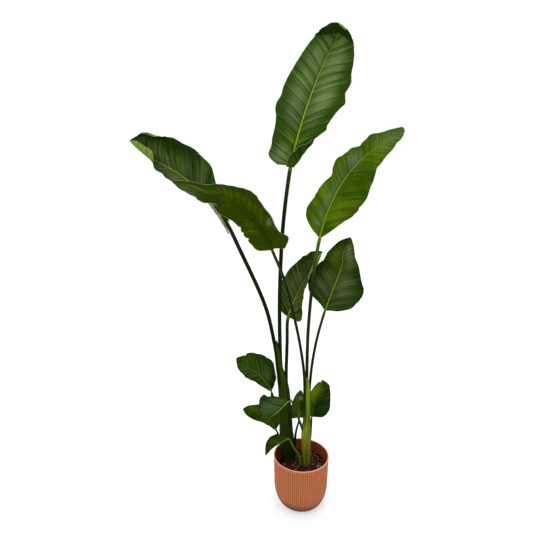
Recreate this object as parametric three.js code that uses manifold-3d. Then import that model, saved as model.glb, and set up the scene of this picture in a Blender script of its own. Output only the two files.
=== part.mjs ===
// A potted bird of paradise, the tall house plant with paddle leaves on long stalks.
// Two fans of leaves stand in soil in a ribbed round pot.
// Units are millimetres, +Z is up, and the origin is the centre of the pot's underside.
// A viewer in front of the plant looks along +Y, and +X is to the right.
import * as THREE from "three";
import { mergeVertices } from "three/addons/utils/BufferGeometryUtils.js";
import Module from "manifold-3d";

const wasm = await Module();
wasm.setup();

// Driving dimensions of the pot
const POT_HEIGHT = 210;
const RIM_RADIUS = 110;
const SHOULDER_RADIUS = 107;
const SHOULDER_HEIGHT = 95;
const FOOT_RADIUS = 58;
const WALL = 4.5;
const FLOOR = 5;
const LIP_HEIGHT = 7;
const LIP_STEP = 0.6;
const RIB_COUNT = 84;
const RIB_RELIEF = 1.2;
const INSIDE_SIDES = 40;

// Driving dimensions of the soil
const SOIL_TOP = 164;
const SOIL_HUMP = 1.6;
const HUMP_SPACING = 8.5;

// Driving dimensions of the plant
const GAP = 0.3;
const BLADE_THICKNESS = 0.9;
const STALK_SIDES = 6;
const FAN_SIDES = 12;
const STALK_STEP = 75;
const TIP_SHORT = 2;
const FOOT_START = 8;
const LOBE_WIDTH = 45;
const LOBE_LENGTH = 0.22;

// How far along the midrib each half-width is given, from the base to the tip
const WIDTH_STATIONS = [0, 0.05, 0.12, 0.25, 0.4, 0.55, 0.7, 0.83, 0.93, 1];

// One entry a leaf. route is the line of the stalk and then of the midrib, blade is the point where
// the blade starts, and join is the point where the leaf leaves its fan. face is where the upper side
// looks, from base to tip. left and right are the half-widths of the blade at WIDTH_STATIONS.
// fold raises each half from flat at the midrib and arch bends it on towards its edge, in degrees,
// both from base to tip. lobes is how far the base reaches back beside the stalk on each side.
// waves is the number of waves along an edge, and swell is how high they are. radii are those of
// the stalk's foot, the blade's base and the tip.
const LEAVES = [
  {
    name: "leaf_top",
    fan: "fan_left",
    route: [
      [-44, 34, 100], [-54, 33, 220], [-67, 27, 430], [-82, 21, 560], [-88, 16, 690],
      [-90, 0, 890], [-80, -22, 1140], [-57, -30, 1335], [-43, -30, 1400], [-10, -25, 1514],
      [46, -20, 1661], [77, -27, 1720], [87, -38, 1750], [86, -62, 1776],
    ],
    blade: 7, join: 4, radii: [8, 6.8, 1.3], rows: 18, halfColumns: 3,
    face: [[-0.1, -1, 0.1], [0, -1, 0.05], [0.1, -0.95, -0.2]],
    left: [3, 60, 80, 85, 95, 92, 80, 66, 56, 5],
    right: [3, 48, 62, 80, 94, 110, 110, 88, 54, 5],
    fold: [[6, 8, 8], [10, 8, 8, 8]],
    arch: [[-15, -15, -15, 20], [130, -20, -20, 30]],
    lobes: [14, 10], waves: 6, swell: 5,
  },
  {
    name: "leaf_far_left",
    fan: "fan_left",
    route: [
      [-44, 34, 100], [-56, 33, 220], [-73, 27, 430], [-94, 22, 560], [-102, 18, 637],
      [-111, 16, 688], [-133, 10, 792], [-159, 0, 871], [-228, -5, 1028], [-284, 5, 1143],
      [-330, 0, 1210], [-372, -5, 1253], [-445, -15, 1313], [-527, -25, 1362], [-567, -30, 1394],
      [-601, -30, 1422],
    ],
    blade: 10, join: 5, radii: [7.5, 7.2, 1.2], rows: 16, halfColumns: 3,
    face: [[0.4, -0.75, 0.5]],
    left: [3, 18, 36, 56, 58, 56, 52, 48, 38, 4],
    right: [3, 42, 58, 90, 98, 98, 92, 76, 50, 4],
    fold: [[25, 25, 25, -10], [40, 40, 35, 20]],
    arch: [[-15, -10, 20, 210], [-15, -10, 0, 60]],
    lobes: [6, 6], waves: 5, swell: 4,
  },
  {
    name: "leaf_middle",
    fan: "fan_left",
    route: [
      [-43, 34, 100], [-50, 33, 220], [-58, 30, 430], [-61, 27, 500], [-62, 26, 568],
      [-61, 30, 602], [-59, 40, 672], [-56, 52, 770], [-38, 60, 818], [-3, 76, 891],
      [24, 80, 934], [50, 72, 967], [69, 50, 1018],
    ],
    blade: 7, join: 5, radii: [7.4, 6.5, 1.2], rows: 14, halfColumns: 3,
    face: [[-0.65, -0.57, 0.4]],
    left: [3, 34, 46, 62, 80, 72, 66, 56, 38, 4],
    right: [3, 40, 54, 60, 60, 58, 52, 44, 28, 4],
    fold: [[35], [-10, 25, 45, 50]],
    arch: [[-10, -10, -10, 0], [-30, -10, 0, 60]],
    lobes: [6, 6], waves: 4, swell: 4,
  },
  {
    name: "leaf_arching",
    fan: "fan_right",
    route: [
      [18, -4, 100], [15, -6, 220], [8, -18, 459], [3, -30, 568], [-12, -45, 675],
      [-37, -65, 798], [-79, -100, 958], [-121, -125, 1064], [-147, -140, 1124],
      [-170, -150, 1159], [-211, -165, 1197], [-272, -180, 1249], [-328, -180, 1263],
      [-379, -170, 1282], [-442, -150, 1292],
    ],
    blade: 7, join: 3, radii: [6, 5, 1.2], rows: 16, halfColumns: 3,
    face: [[-0.52, 0.24, 0.81], [-0.4, 0.5, 0.75], [-0.1, 0.85, 0.5]],
    left: [40, 62, 48, 47, 68, 54, 27, 12, 6, 3],
    right: [3, 42, 56, 65, 50, 58, 54, 54, 42, 4],
    fold: [[12, 8, 10], [12, 8, 10]],
    arch: [[-25, -20, -10], [-25, -20, -10]],
    lobes: [28, 4], waves: 5, swell: 5,
  },
  {
    name: "leaf_right",
    fan: "fan_right",
    route: [
      [20, -2, 100], [19, -4, 220], [17, -12, 459], [15, -15, 568], [15, -20, 708],
      [17, -25, 776], [28, -40, 954], [46, -56, 1094], [67, -65, 1178], [110, -75, 1276],
      [164, -70, 1347], [251, -55, 1419], [316, -40, 1464],
    ],
    blade: 7, join: 3, radii: [6.5, 6, 1.2], rows: 18, halfColumns: 3,
    face: [[-0.3, -1, 0.3]],
    left: [3, 36, 68, 66, 54, 58, 46, 34, 16, 3],
    right: [3, 24, 48, 86, 98, 82, 56, 40, 26, 3],
    fold: [[10], [10]],
    arch: [[-25, -20, -10], [-25, -20, -10]],
    lobes: [6, 6], waves: 6, swell: 5,
  },
  {
    name: "leaf_lower_right",
    fan: "fan_right",
    route: [
      [22, -2, 100], [23, -2, 220], [24, -6, 400], [29, 0, 515], [38, 10, 604], [57, 25, 702],
      [85, 40, 800], [106, 45, 860], [128, 50, 921], [145, 55, 972], [149, 60, 1008],
      [160, 75, 1045], [181, 90, 1074],
    ],
    blade: 6, join: 3, radii: [6, 5, 1.2], rows: 14, halfColumns: 3,
    face: [[-0.2, -1, 0.2]],
    left: [3, 25, 66, 88, 92, 80, 66, 42, 18, 3],
    right: [3, 44, 76, 106, 108, 80, 50, 38, 24, 3],
    fold: [[12, 8, 10], [12, 8, 10]],
    arch: [[-25, -20, -10], [-25, -20, -10]],
    lobes: [0, 6], waves: 4, swell: 4,
  },
  {
    name: "small_leaf_upper_left",
    fan: "fan_left",
    route: [
      [-62, 30, 330], [-76, 26, 372], [-92, 18, 410], [-110, 5, 450], [-120, -5, 488],
      [-149, -20, 540], [-173, -30, 573], [-203, -35, 597], [-237, -38, 620], [-251, -35, 639],
    ],
    blade: 4, join: 2, radii: [4.5, 3.5, 1], rows: 12, halfColumns: 2,
    face: [[0.35, -0.7, 0.6]],
    left: [3, 10, 22, 38, 54, 66, 70, 56, 24, 3],
    right: [3, 46, 66, 86, 86, 78, 66, 52, 44, 3],
    fold: [[50, 50, 40], [5]],
    arch: [[-25, -20, -10], [-25, -20, -10]],
    lobes: [6, 6], waves: 4, swell: 3,
  },
  {
    name: "small_leaf_front",
    fan: "fan_right",
    route: [
      [15, -7, 205], [12, -8, 262], [6, -10, 315], [-4, -18, 351], [-13, -27, 378],
      [-22, -40, 411], [-35, -58, 451], [-45, -80, 484], [-50, -97, 502], [-58, -105, 500],
      [-76, -120, 492], [-91, -135, 483], [-132, -165, 465], [-144, -178, 460],
    ],
    blade: 9, join: 3, radii: [7.5, 3.5, 1], rows: 10, halfColumns: 2,
    face: [[0, -0.86, 0.5]],
    left: [3, 24, 40, 54, 60, 60, 54, 42, 26, 3],
    right: [3, 18, 32, 60, 76, 80, 74, 56, 32, 3],
    fold: [[-80], [0]],
    arch: [[-25, -20, -10], [-25, -20, -10]],
    lobes: [6, 6], waves: 3, swell: 2,
  },
  {
    name: "small_leaf_left",
    fan: "fan_left",
    route: [
      [-56, 32, 200], [-66, 30, 225], [-80, 20, 258], [-93, 5, 297], [-102, -3, 322],
      [-120, -20, 365], [-149, -32, 398], [-187, -40, 419], [-229, -40, 432],
    ],
    blade: 4, join: 3, radii: [4.5, 3.5, 1], rows: 10, halfColumns: 2,
    face: [[0, -0.8, 0.5]],
    left: [3, 8, 12, 18, 26, 30, 34, 30, 20, 3],
    right: [3, 12, 26, 42, 50, 42, 34, 24, 15, 3],
    fold: [[45], [15]],
    arch: [[-25, -20, -10], [-25, -20, -10]],
    lobes: [6, 6], waves: 3, swell: 2,
  },
  {
    name: "small_leaf_low",
    fan: null,
    route: [
      [-1, -3, 100], [-1, -4, 157], [-4, -6, 192], [-13, -10, 220], [-31, -20, 251],
      [-44, -32, 286], [-55, -45, 308], [-82, -60, 302], [-103, -74, 298], [-122, -87, 290],
      [-142, -98, 272],
    ],
    blade: 6, join: 0, radii: [4.5, 3.5, 1], rows: 10, halfColumns: 2,
    face: [[0, -0.86, 0.5]],
    left: [3, 20, 28, 32, 34, 34, 32, 26, 16, 3],
    right: [3, 10, 16, 34, 38, 38, 32, 20, 10, 3],
    fold: [[-80], [0]],
    arch: [[-25, -20, -10], [-25, -20, -10]],
    lobes: [6, 6], waves: 3, swell: 2,
  },
  {
    name: "small_leaf_centre",
    fan: "fan_left",
    route: [
      [-36, 36, 130], [-31, 37, 160], [-26, 38, 190], [-23, 38, 235], [-21, 38, 272],
      [-17, 39, 297], [-8, 43, 334], [-5, 48, 355], [-8, 52, 385], [-8, 58, 420], [0, 66, 455],
    ],
    blade: 7, join: 5, radii: [7, 3.5, 1], rows: 10, halfColumns: 2,
    face: [[0, -0.9, 0.5]],
    left: [3, 26, 32, 32, 30, 24, 16, 10, 6, 3],
    right: [3, 15, 20, 22, 22, 22, 20, 16, 10, 3],
    fold: [[12], [12]],
    arch: [[-25, -20, -10], [-25, -20, -10]],
    lobes: [6, 6], waves: 3, swell: 2,
  },
  {
    name: "small_leaf_right",
    fan: "fan_right",
    route: [
      [26, 2, 210], [34, 14, 245], [39, 26, 275], [42, 36, 315], [44, 44, 350], [50, 52, 380],
      [62, 60, 412], [80, 66, 450], [92, 68, 485],
    ],
    blade: 4, join: 2, radii: [4.5, 3.5, 1], rows: 12, halfColumns: 2,
    face: [[0, -0.9, 0.5]],
    left: [3, 12, 18, 24, 30, 36, 36, 30, 18, 3],
    right: [3, 24, 42, 52, 56, 54, 48, 40, 32, 3],
    fold: [[12], [12]],
    arch: [[-25, -20, -10], [-25, -20, -10]],
    lobes: [6, 6], waves: 3, swell: 3,
  },
];

// The wrapped leaf sheaths that make the trunk of each fan: centre and radius at each height
const FANS = {
  fan_left: {
    colour: 0x2f4a14,
    trunk: [
      [-45, 34, 100, 23], [-48, 34, 157, 25.5], [-51, 34, 196, 29], [-56, 33, 235, 28.5],
      [-57.5, 32, 275, 27], [-60, 31, 320, 25], [-63.5, 29, 380, 24], [-67, 28, 430, 22.5],
      [-71, 26, 481, 21], [-77, 24, 520, 19], [-85, 21, 560, 14], [-91, 19.5, 598, 12],
      [-94, 18.5, 637, 11], [-98, 17.5, 670, 7], [-99, 17, 685, 2.5],
    ],
  },
  fan_right: {
    colour: 0x6e7a20,
    trunk: [
      [20, -2, 100, 13], [20, -3, 157, 14.5], [20, -4, 215, 16.5], [18, -5, 262, 17.5],
      [17, -6, 300, 17.5], [18, -8, 345, 15.5], [18.5, -10, 403, 13], [18, -12, 459, 12.3],
      [16, -14, 520, 8.8], [15, -15, 554, 5.6],
    ],
  },
};

// A value, or a vector, on the smooth line through values at the given stations, or evenly spaced
function smooth(values, t, stations = null) {
  const last = values.length - 1;
  if (last === 0) {
    return values[0];
  }
  const place = (i) => (stations ? stations[i] : i / last);
  const slope = (i) => {
    if (i === 0 || i === last) {
      const j = i === 0 ? 0 : last - 1;
      return (values[j + 1] - values[j]) / (place(j + 1) - place(j));
    }
    const before = place(i) - place(i - 1);
    const after = place(i + 1) - place(i);
    const rise = before ** 2 * (values[i + 1] - values[i]) + after ** 2 * (values[i] - values[i - 1]);
    return rise / (before * after * (before + after));
  };
  let i = 0;
  while (i < last - 1 && t >= place(i + 1)) {
    i += 1;
  }
  const step = place(i + 1) - place(i);
  const a = (t - place(i)) / step;
  return (
    (2 * a ** 3 - 3 * a ** 2 + 1) * values[i] +
    (a ** 3 - 2 * a ** 2 + a) * step * slope(i) +
    (-2 * a ** 3 + 3 * a ** 2) * values[i + 1] +
    (a ** 3 - a ** 2) * step * slope(i + 1)
  );
}

function smoothVector(vectors, t) {
  const axis = (k) => smooth(vectors.map((v) => v[k]), t);
  return new THREE.Vector3(axis(0), axis(1), axis(2)).normalize();
}

// The route of a leaf, with places along it in millimetres from its start
class Route {
  constructor(points) {
    const perSpan = 40;
    this.curve = new THREE.CatmullRomCurve3(points.map((p) => new THREE.Vector3(...p)));
    this.curve.arcLengthDivisions = perSpan * (points.length - 1);
    this.lengths = this.curve.getLengths();
    this.length = this.lengths.at(-1);
    this.atPoint = (index) => this.lengths[index * perSpan];
  }

  at(s) {
    return this.curve.getPointAt(Math.min(s / this.length, 1));
  }

  along(s) {
    return this.curve.getTangentAt(Math.min(s / this.length, 1));
  }
}

function meshSolid(points, triangles) {
  return new wasm.Manifold(
    new wasm.Mesh({
      numProp: 3,
      vertProperties: new Float32Array(points.flatMap((p) => [p.x, p.y, p.z])),
      triVerts: new Uint32Array(triangles),
    }),
  );
}

function geometrySolid(geometry) {
  geometry.deleteAttribute("normal");
  geometry.deleteAttribute("uv");
  const merged = mergeVertices(geometry, 1e-3);
  return new wasm.Manifold(
    new wasm.Mesh({
      numProp: 3,
      vertProperties: merged.getAttribute("position").array,
      triVerts: new Uint32Array(merged.index.array),
    }),
  );
}

// The outer body of a joined solid, without the pockets that joining can seal inside it
function wholeBody(solid) {
  return solid.decompose().reduce((most, piece) => (piece.volume() > most.volume() ? piece : most));
}

// A closed solid through rings of equal count, each ring anticlockwise seen from the far end
function loft(rings) {
  const count = rings[0].length;
  const points = rings.flat();
  const triangles = [];
  for (let i = 0; i + 1 < rings.length; i += 1) {
    for (let k = 0; k < count; k += 1) {
      const a = i * count + k;
      const b = i * count + ((k + 1) % count);
      triangles.push(a, b, b + count, a, b + count, a + count);
    }
  }
  for (const [ring, flip] of [[0, true], [rings.length - 1, false]]) {
    const centre = new THREE.Vector3();
    rings[ring].forEach((p) => centre.addScaledVector(p, 1 / count));
    points.push(centre);
    for (let k = 0; k < count; k += 1) {
      const a = ring * count + k;
      const b = ring * count + ((k + 1) % count);
      triangles.push(points.length - 1, flip ? b : a, flip ? a : b);
    }
  }
  return meshSolid(points, triangles);
}

// A round section across a line, kept untwisted by a fixed sideways direction
function ringAcross(centre, along, radius, sides) {
  const side = new THREE.Vector3(0, -1, 0).cross(along).normalize();
  const front = along.clone().cross(side);
  return Array.from({ length: sides }, (_, k) => {
    const angle = (2 * Math.PI * k) / sides;
    return centre
      .clone()
      .addScaledVector(side, radius * Math.cos(angle))
      .addScaledVector(front, radius * Math.sin(angle));
  });
}

class Leaf {
  constructor(sizes) {
    Object.assign(this, sizes);
    this.line = new Route(sizes.route);
    this.bladeStart = this.line.atPoint(sizes.blade);
    this.bladeLength = this.line.length - this.bladeStart;
    this.joinAt = this.line.atPoint(sizes.join);
  }

  radiusAt(s) {
    const [foot, neck, tip] = this.radii;
    if (s < this.bladeStart) {
      return THREE.MathUtils.lerp(foot, neck, s / this.bladeStart);
    }
    return THREE.MathUtils.lerp(neck, tip, ((s - this.bladeStart) / this.bladeLength) ** 0.7);
  }

  // A point of the blade: t runs along the midrib, u runs from -1 at the left edge to 1 at the right
  bladePoint(t, u) {
    const s = this.bladeStart + t * this.bladeLength;
    const along = this.line.along(s);
    const side = along.clone().cross(smoothVector(this.face, t)).normalize();
    const up = side.clone().cross(along);
    const half = u < 0 ? 0 : 1;
    const out = Math.abs(u);
    const width = Math.max(smooth(half ? this.right : this.left, t, WIDTH_STATIONS), 0.8);
    const fold = THREE.MathUtils.degToRad(smooth(this.fold[half], t));
    const bend = (THREE.MathUtils.degToRad(smooth(this.arch[half], t)) * out) / 2;
    const reach = width * out * (Math.abs(bend) > 1e-4 ? Math.sin(bend) / bend : 1);
    const phase = (t * this.bladeLength - 0.8 * width * out) / this.bladeLength;
    const wave = Math.sin(2 * Math.PI * this.waves * phase + (half ? 1 : -1));
    const swell = this.swell * out ** 1.6 * Math.min(1, width / 60) * wave;
    const lobe = this.lobes[half] * Math.min(1, (width * out) / LOBE_WIDTH) ** 2;
    const back = lobe * Math.max(0, 1 - t / LOBE_LENGTH) ** 2;
    return this.line
      .at(s)
      .addScaledVector(side, (half ? 1 : -1) * reach * Math.cos(fold + bend))
      .addScaledVector(up, reach * Math.sin(fold + bend) + swell)
      .addScaledVector(along, -back);
  }

  // The blade as one thin closed shell, with the same triangles on both faces
  bladeSolid() {
    const rows = this.rows;
    const columns = 2 * this.halfColumns;
    const middle = [];
    for (let i = 0; i <= rows; i += 1) {
      const t = 0.5 - 0.5 * Math.cos((Math.PI * i) / rows);
      middle.push(
        Array.from({ length: columns + 1 }, (_, j) => this.bladePoint(t, j / this.halfColumns - 1)),
      );
    }
    const points = [];
    for (const face of [1, -1]) {
      for (let i = 0; i <= rows; i += 1) {
        for (let j = 0; j <= columns; j += 1) {
          const across = middle[i][Math.min(j + 1, columns)].clone().sub(middle[i][Math.max(j - 1, 0)]);
          const along = middle[Math.min(i + 1, rows)][j].clone().sub(middle[Math.max(i - 1, 0)][j]);
          const normal = across.cross(along).normalize();
          points.push(middle[i][j].clone().addScaledVector(normal, (face * BLADE_THICKNESS) / 2));
        }
      }
    }
    const width = columns + 1;
    const under = (rows + 1) * width;
    const triangles = [];
    for (let i = 0; i < rows; i += 1) {
      for (let j = 0; j < columns; j += 1) {
        const a = i * width + j;
        const [b, c, d] = [a + 1, a + width + 1, a + width];
        triangles.push(a, b, c, a, c, d);
        triangles.push(under + a, under + c, under + b, under + a, under + d, under + c);
      }
    }
    const edge = [];
    for (let j = 0; j < columns; j += 1) {
      edge.push(j);
    }
    for (let i = 0; i < rows; i += 1) {
      edge.push(i * width + columns);
    }
    for (let j = columns; j > 0; j -= 1) {
      edge.push(rows * width + j);
    }
    for (let i = rows; i > 0; i -= 1) {
      edge.push(i * width);
    }
    edge.forEach((a, k) => {
      const b = edge[(k + 1) % edge.length];
      triangles.push(a, under + a, under + b, a, under + b, b);
    });
    return meshSolid(points, triangles);
  }

  // The stalk and the midrib as one tapering rod between two places on the route
  rodSolid(from, to, stalkSteps, ribSteps, extra = 0) {
    const places = [];
    const stalkEnd = Math.min(this.bladeStart, to);
    for (let i = 0; i < stalkSteps; i += 1) {
      places.push(THREE.MathUtils.lerp(from, stalkEnd, i / stalkSteps));
    }
    places.push(stalkEnd);
    for (let i = 1; i <= ribSteps; i += 1) {
      places.push(THREE.MathUtils.lerp(stalkEnd, to, i / ribSteps));
    }
    const rings = places.map((s) =>
      ringAcross(this.line.at(s), this.line.along(s), this.radiusAt(s) + extra, STALK_SIDES),
    );
    return loft(rings);
  }

  // The stalk and midrib that are the leaf's own, made thicker all round by extra
  ribSolid(extra = 0) {
    const stalkLength = this.bladeStart - this.joinAt;
    const stalkSteps = Math.max(3, Math.round(stalkLength / STALK_STEP));
    const start = this.fan ? this.joinAt + GAP : 0;
    return this.rodSolid(start, this.line.length - TIP_SHORT, stalkSteps, this.rows / 2, extra);
  }

  solid() {
    return wholeBody(this.ribSolid().add(this.bladeSolid()));
  }

  // The foot of the stalk, inside and just above the trunk of its fan
  footSolid() {
    const steps = Math.max(2, Math.round(this.joinAt / STALK_STEP));
    return this.rodSolid(FOOT_START, this.joinAt, steps, 0);
  }
}

function trunkSolid(trunk, extra = 0) {
  const line = new THREE.CatmullRomCurve3(trunk.map(([x, y, z]) => new THREE.Vector3(x, y, z)));
  const rings = trunk.map(([, , , radius], i) => {
    const place = i / (trunk.length - 1);
    return ringAcross(line.getPoint(place), line.getTangent(place), radius + extra, FAN_SIDES);
  });
  if (extra > 0) {
    rings[0].forEach((p) => p.add(new THREE.Vector3(0, 0, -extra)));
  }
  return loft(rings);
}

// The pot's outer profile from the foot up: a rounded bottom, then a straight side
function potRadius(angle) {
  return FOOT_RADIUS + (SHOULDER_RADIUS - FOOT_RADIUS) * Math.cos(angle);
}

function potHeight(angle) {
  return SHOULDER_HEIGHT * (1 - Math.sin(angle));
}

function potOutside() {
  const count = 2 * RIB_COUNT;
  const ring = (radius, height, relief) =>
    Array.from({ length: count }, (_, k) => {
      const angle = (2 * Math.PI * k) / count;
      const r = radius - (k % 2) * relief;
      return new THREE.Vector3(r * Math.cos(angle), r * Math.sin(angle), height);
    });
  const lipFoot = POT_HEIGHT - LIP_HEIGHT;
  const rings = [ring(FOOT_RADIUS, 0, 0)];
  for (const degrees of [68, 46, 24, 0]) {
    const angle = THREE.MathUtils.degToRad(degrees);
    rings.push(ring(potRadius(angle), potHeight(angle), RIB_RELIEF));
  }
  rings.push(ring(RIM_RADIUS - LIP_STEP, lipFoot, RIB_RELIEF));
  rings.push(ring(RIM_RADIUS, lipFoot + LIP_STEP, 0));
  rings.push(ring(RIM_RADIUS, POT_HEIGHT, 0));
  return loft(rings);
}

// The hollow of the pot up to a height, drawn in by a clearance all round
function potHollow(top, clear) {
  const profile = [new THREE.Vector2(0, FLOOR + clear)];
  for (const degrees of [78, 58, 38, 18, 0]) {
    const angle = THREE.MathUtils.degToRad(degrees);
    const height = Math.max(potHeight(angle), FLOOR) + clear;
    profile.push(new THREE.Vector2(potRadius(angle) - WALL - clear, height));
  }
  const slope = (RIM_RADIUS - SHOULDER_RADIUS) / (POT_HEIGHT - SHOULDER_HEIGHT);
  const wide = SHOULDER_RADIUS - WALL - clear + slope * (top - SHOULDER_HEIGHT);
  profile.push(new THREE.Vector2(wide, top));
  return { profile, wide };
}

function turned(profile) {
  const geometry = new THREE.LatheGeometry(profile, INSIDE_SIDES);
  geometry.rotateX(Math.PI / 2);
  return geometry;
}

function potSolid() {
  const above = POT_HEIGHT + 10;
  const { profile } = potHollow(above, 0);
  profile.push(new THREE.Vector2(0, above));
  return potOutside().subtract(geometrySolid(turned(profile)));
}

// The soil: the shape of the pot's hollow, a humped top, and plain holes for the stems
function soilSolid(stems) {
  const { profile, wide } = potHollow(SOIL_TOP, GAP);
  for (const part of [0.88, 0.7, 0.5, 0.28]) {
    profile.push(new THREE.Vector2(wide * part, SOIL_TOP + SOIL_HUMP));
  }
  profile.push(new THREE.Vector2(0, SOIL_TOP + SOIL_HUMP));
  const geometry = turned(profile);
  const spots = geometry.getAttribute("position");
  for (let i = 0; i < spots.count; i += 1) {
    if (spots.getZ(i) > SOIL_TOP + SOIL_HUMP / 2) {
      const x = spots.getX(i) / HUMP_SPACING;
      const y = spots.getY(i) / HUMP_SPACING;
      const hump = Math.sin(x + 1.3 * Math.cos(y)) + Math.sin(1.4 * y - 0.6 * x);
      spots.setZ(i, SOIL_TOP + (hump * SOIL_HUMP) / 2);
    }
  }
  return stems.reduce((soil, stem) => soil.subtract(stem), geometrySolid(geometry));
}

function namedMesh(name, solid, colour, roughness) {
  const { vertProperties, triVerts } = solid.getMesh();
  const geometry = new THREE.BufferGeometry();
  geometry.setAttribute("position", new THREE.BufferAttribute(vertProperties, 3));
  geometry.setIndex(new THREE.BufferAttribute(triVerts, 1));
  geometry.computeVertexNormals();
  const material = new THREE.MeshStandardMaterial({ color: colour, roughness, metalness: 0 });
  const mesh = new THREE.Mesh(geometry, material);
  mesh.name = name;
  return mesh;
}

const plant = new THREE.Group();
const leaves = LEAVES.map((sizes) => new Leaf(sizes));

for (const leaf of leaves) {
  plant.add(namedMesh(leaf.name, leaf.solid(), 0x3c5523, 0.4));
}

const stems = [];
for (const [name, fan] of Object.entries(FANS)) {
  const feet = leaves.filter((leaf) => leaf.fan === name).map((leaf) => leaf.footSolid());
  const solid = wholeBody(feet.reduce((trunk, foot) => trunk.add(foot), trunkSolid(fan.trunk)));
  plant.add(namedMesh(name, solid, fan.colour, 0.5));
  stems.push(trunkSolid(fan.trunk, GAP));
}

// The low leaf's stalk has a hole of its own, down to the same depth as the fans
const lowLeaf = leaves.find((leaf) => leaf.fan === null);
stems.push(lowLeaf.ribSolid(GAP).add(lowLeaf.ribSolid(GAP).translate([0, 0, -GAP])));

plant.add(namedMesh("soil", soilSolid(stems), 0x1e1410, 0.95));
plant.add(namedMesh("pot", potSolid(), 0xba6e4c, 0.6));

export default plant;
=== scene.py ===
"""The looks of a potted bird of paradise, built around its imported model.

Lengths in this file are in millimetres until a mesh is made, and Blender's own units are metres.
"""

import math

import bpy
import numpy as np
from bpy.props import FloatProperty, FloatVectorProperty, IntProperty, PointerProperty
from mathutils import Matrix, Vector


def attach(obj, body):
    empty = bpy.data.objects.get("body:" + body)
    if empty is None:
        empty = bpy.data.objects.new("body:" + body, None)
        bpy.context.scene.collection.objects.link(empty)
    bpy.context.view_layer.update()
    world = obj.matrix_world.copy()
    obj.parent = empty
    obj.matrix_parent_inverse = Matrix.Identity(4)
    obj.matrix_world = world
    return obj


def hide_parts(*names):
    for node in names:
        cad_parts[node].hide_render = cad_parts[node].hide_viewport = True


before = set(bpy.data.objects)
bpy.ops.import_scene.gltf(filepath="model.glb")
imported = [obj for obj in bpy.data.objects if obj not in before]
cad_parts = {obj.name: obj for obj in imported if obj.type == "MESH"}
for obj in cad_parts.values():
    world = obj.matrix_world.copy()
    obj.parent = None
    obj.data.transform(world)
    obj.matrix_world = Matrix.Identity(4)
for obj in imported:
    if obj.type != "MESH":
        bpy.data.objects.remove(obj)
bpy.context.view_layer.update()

bl_info = {
    "name": "Potted Bird of Paradise",
    "version": (1, 0, 0),
    "blender": (4, 5, 0),
    "location": "3D View > Sidebar > Plant",
    "description": "Leaves, trunks, soil and a ribbed pot, each made by its own operator",
    "category": "Add Mesh",
}

MM = 0.001

# The places along a blade where its half-widths are given.
WIDTH_STATIONS = [0, 0.05, 0.12, 0.25, 0.4, 0.55, 0.7, 0.83, 0.93, 1]

# What a leaf has where LEAVES and LOOKS give it nothing else.
LEAF_DEFAULTS = dict(
    arch=[[-25, -20, -10], [-25, -20, -10]],
    curl=[[0], [0]],
    turn=[[0.78], [0.78]],
    lobes=(6, 6),
    nicks=[],
    scraps=[],
)
LOOK_DEFAULTS = dict(lines=0.1, groove=0.2, under_lift=0.25)

# How glossy every blade is, and the screen colour of the painted highlight on the pale rim of a tip that
# bends forward.
BLADE_GLOSS = 0.012
CURLED_RIM_HIGHLIGHT = (158, 178, 96)

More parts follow.
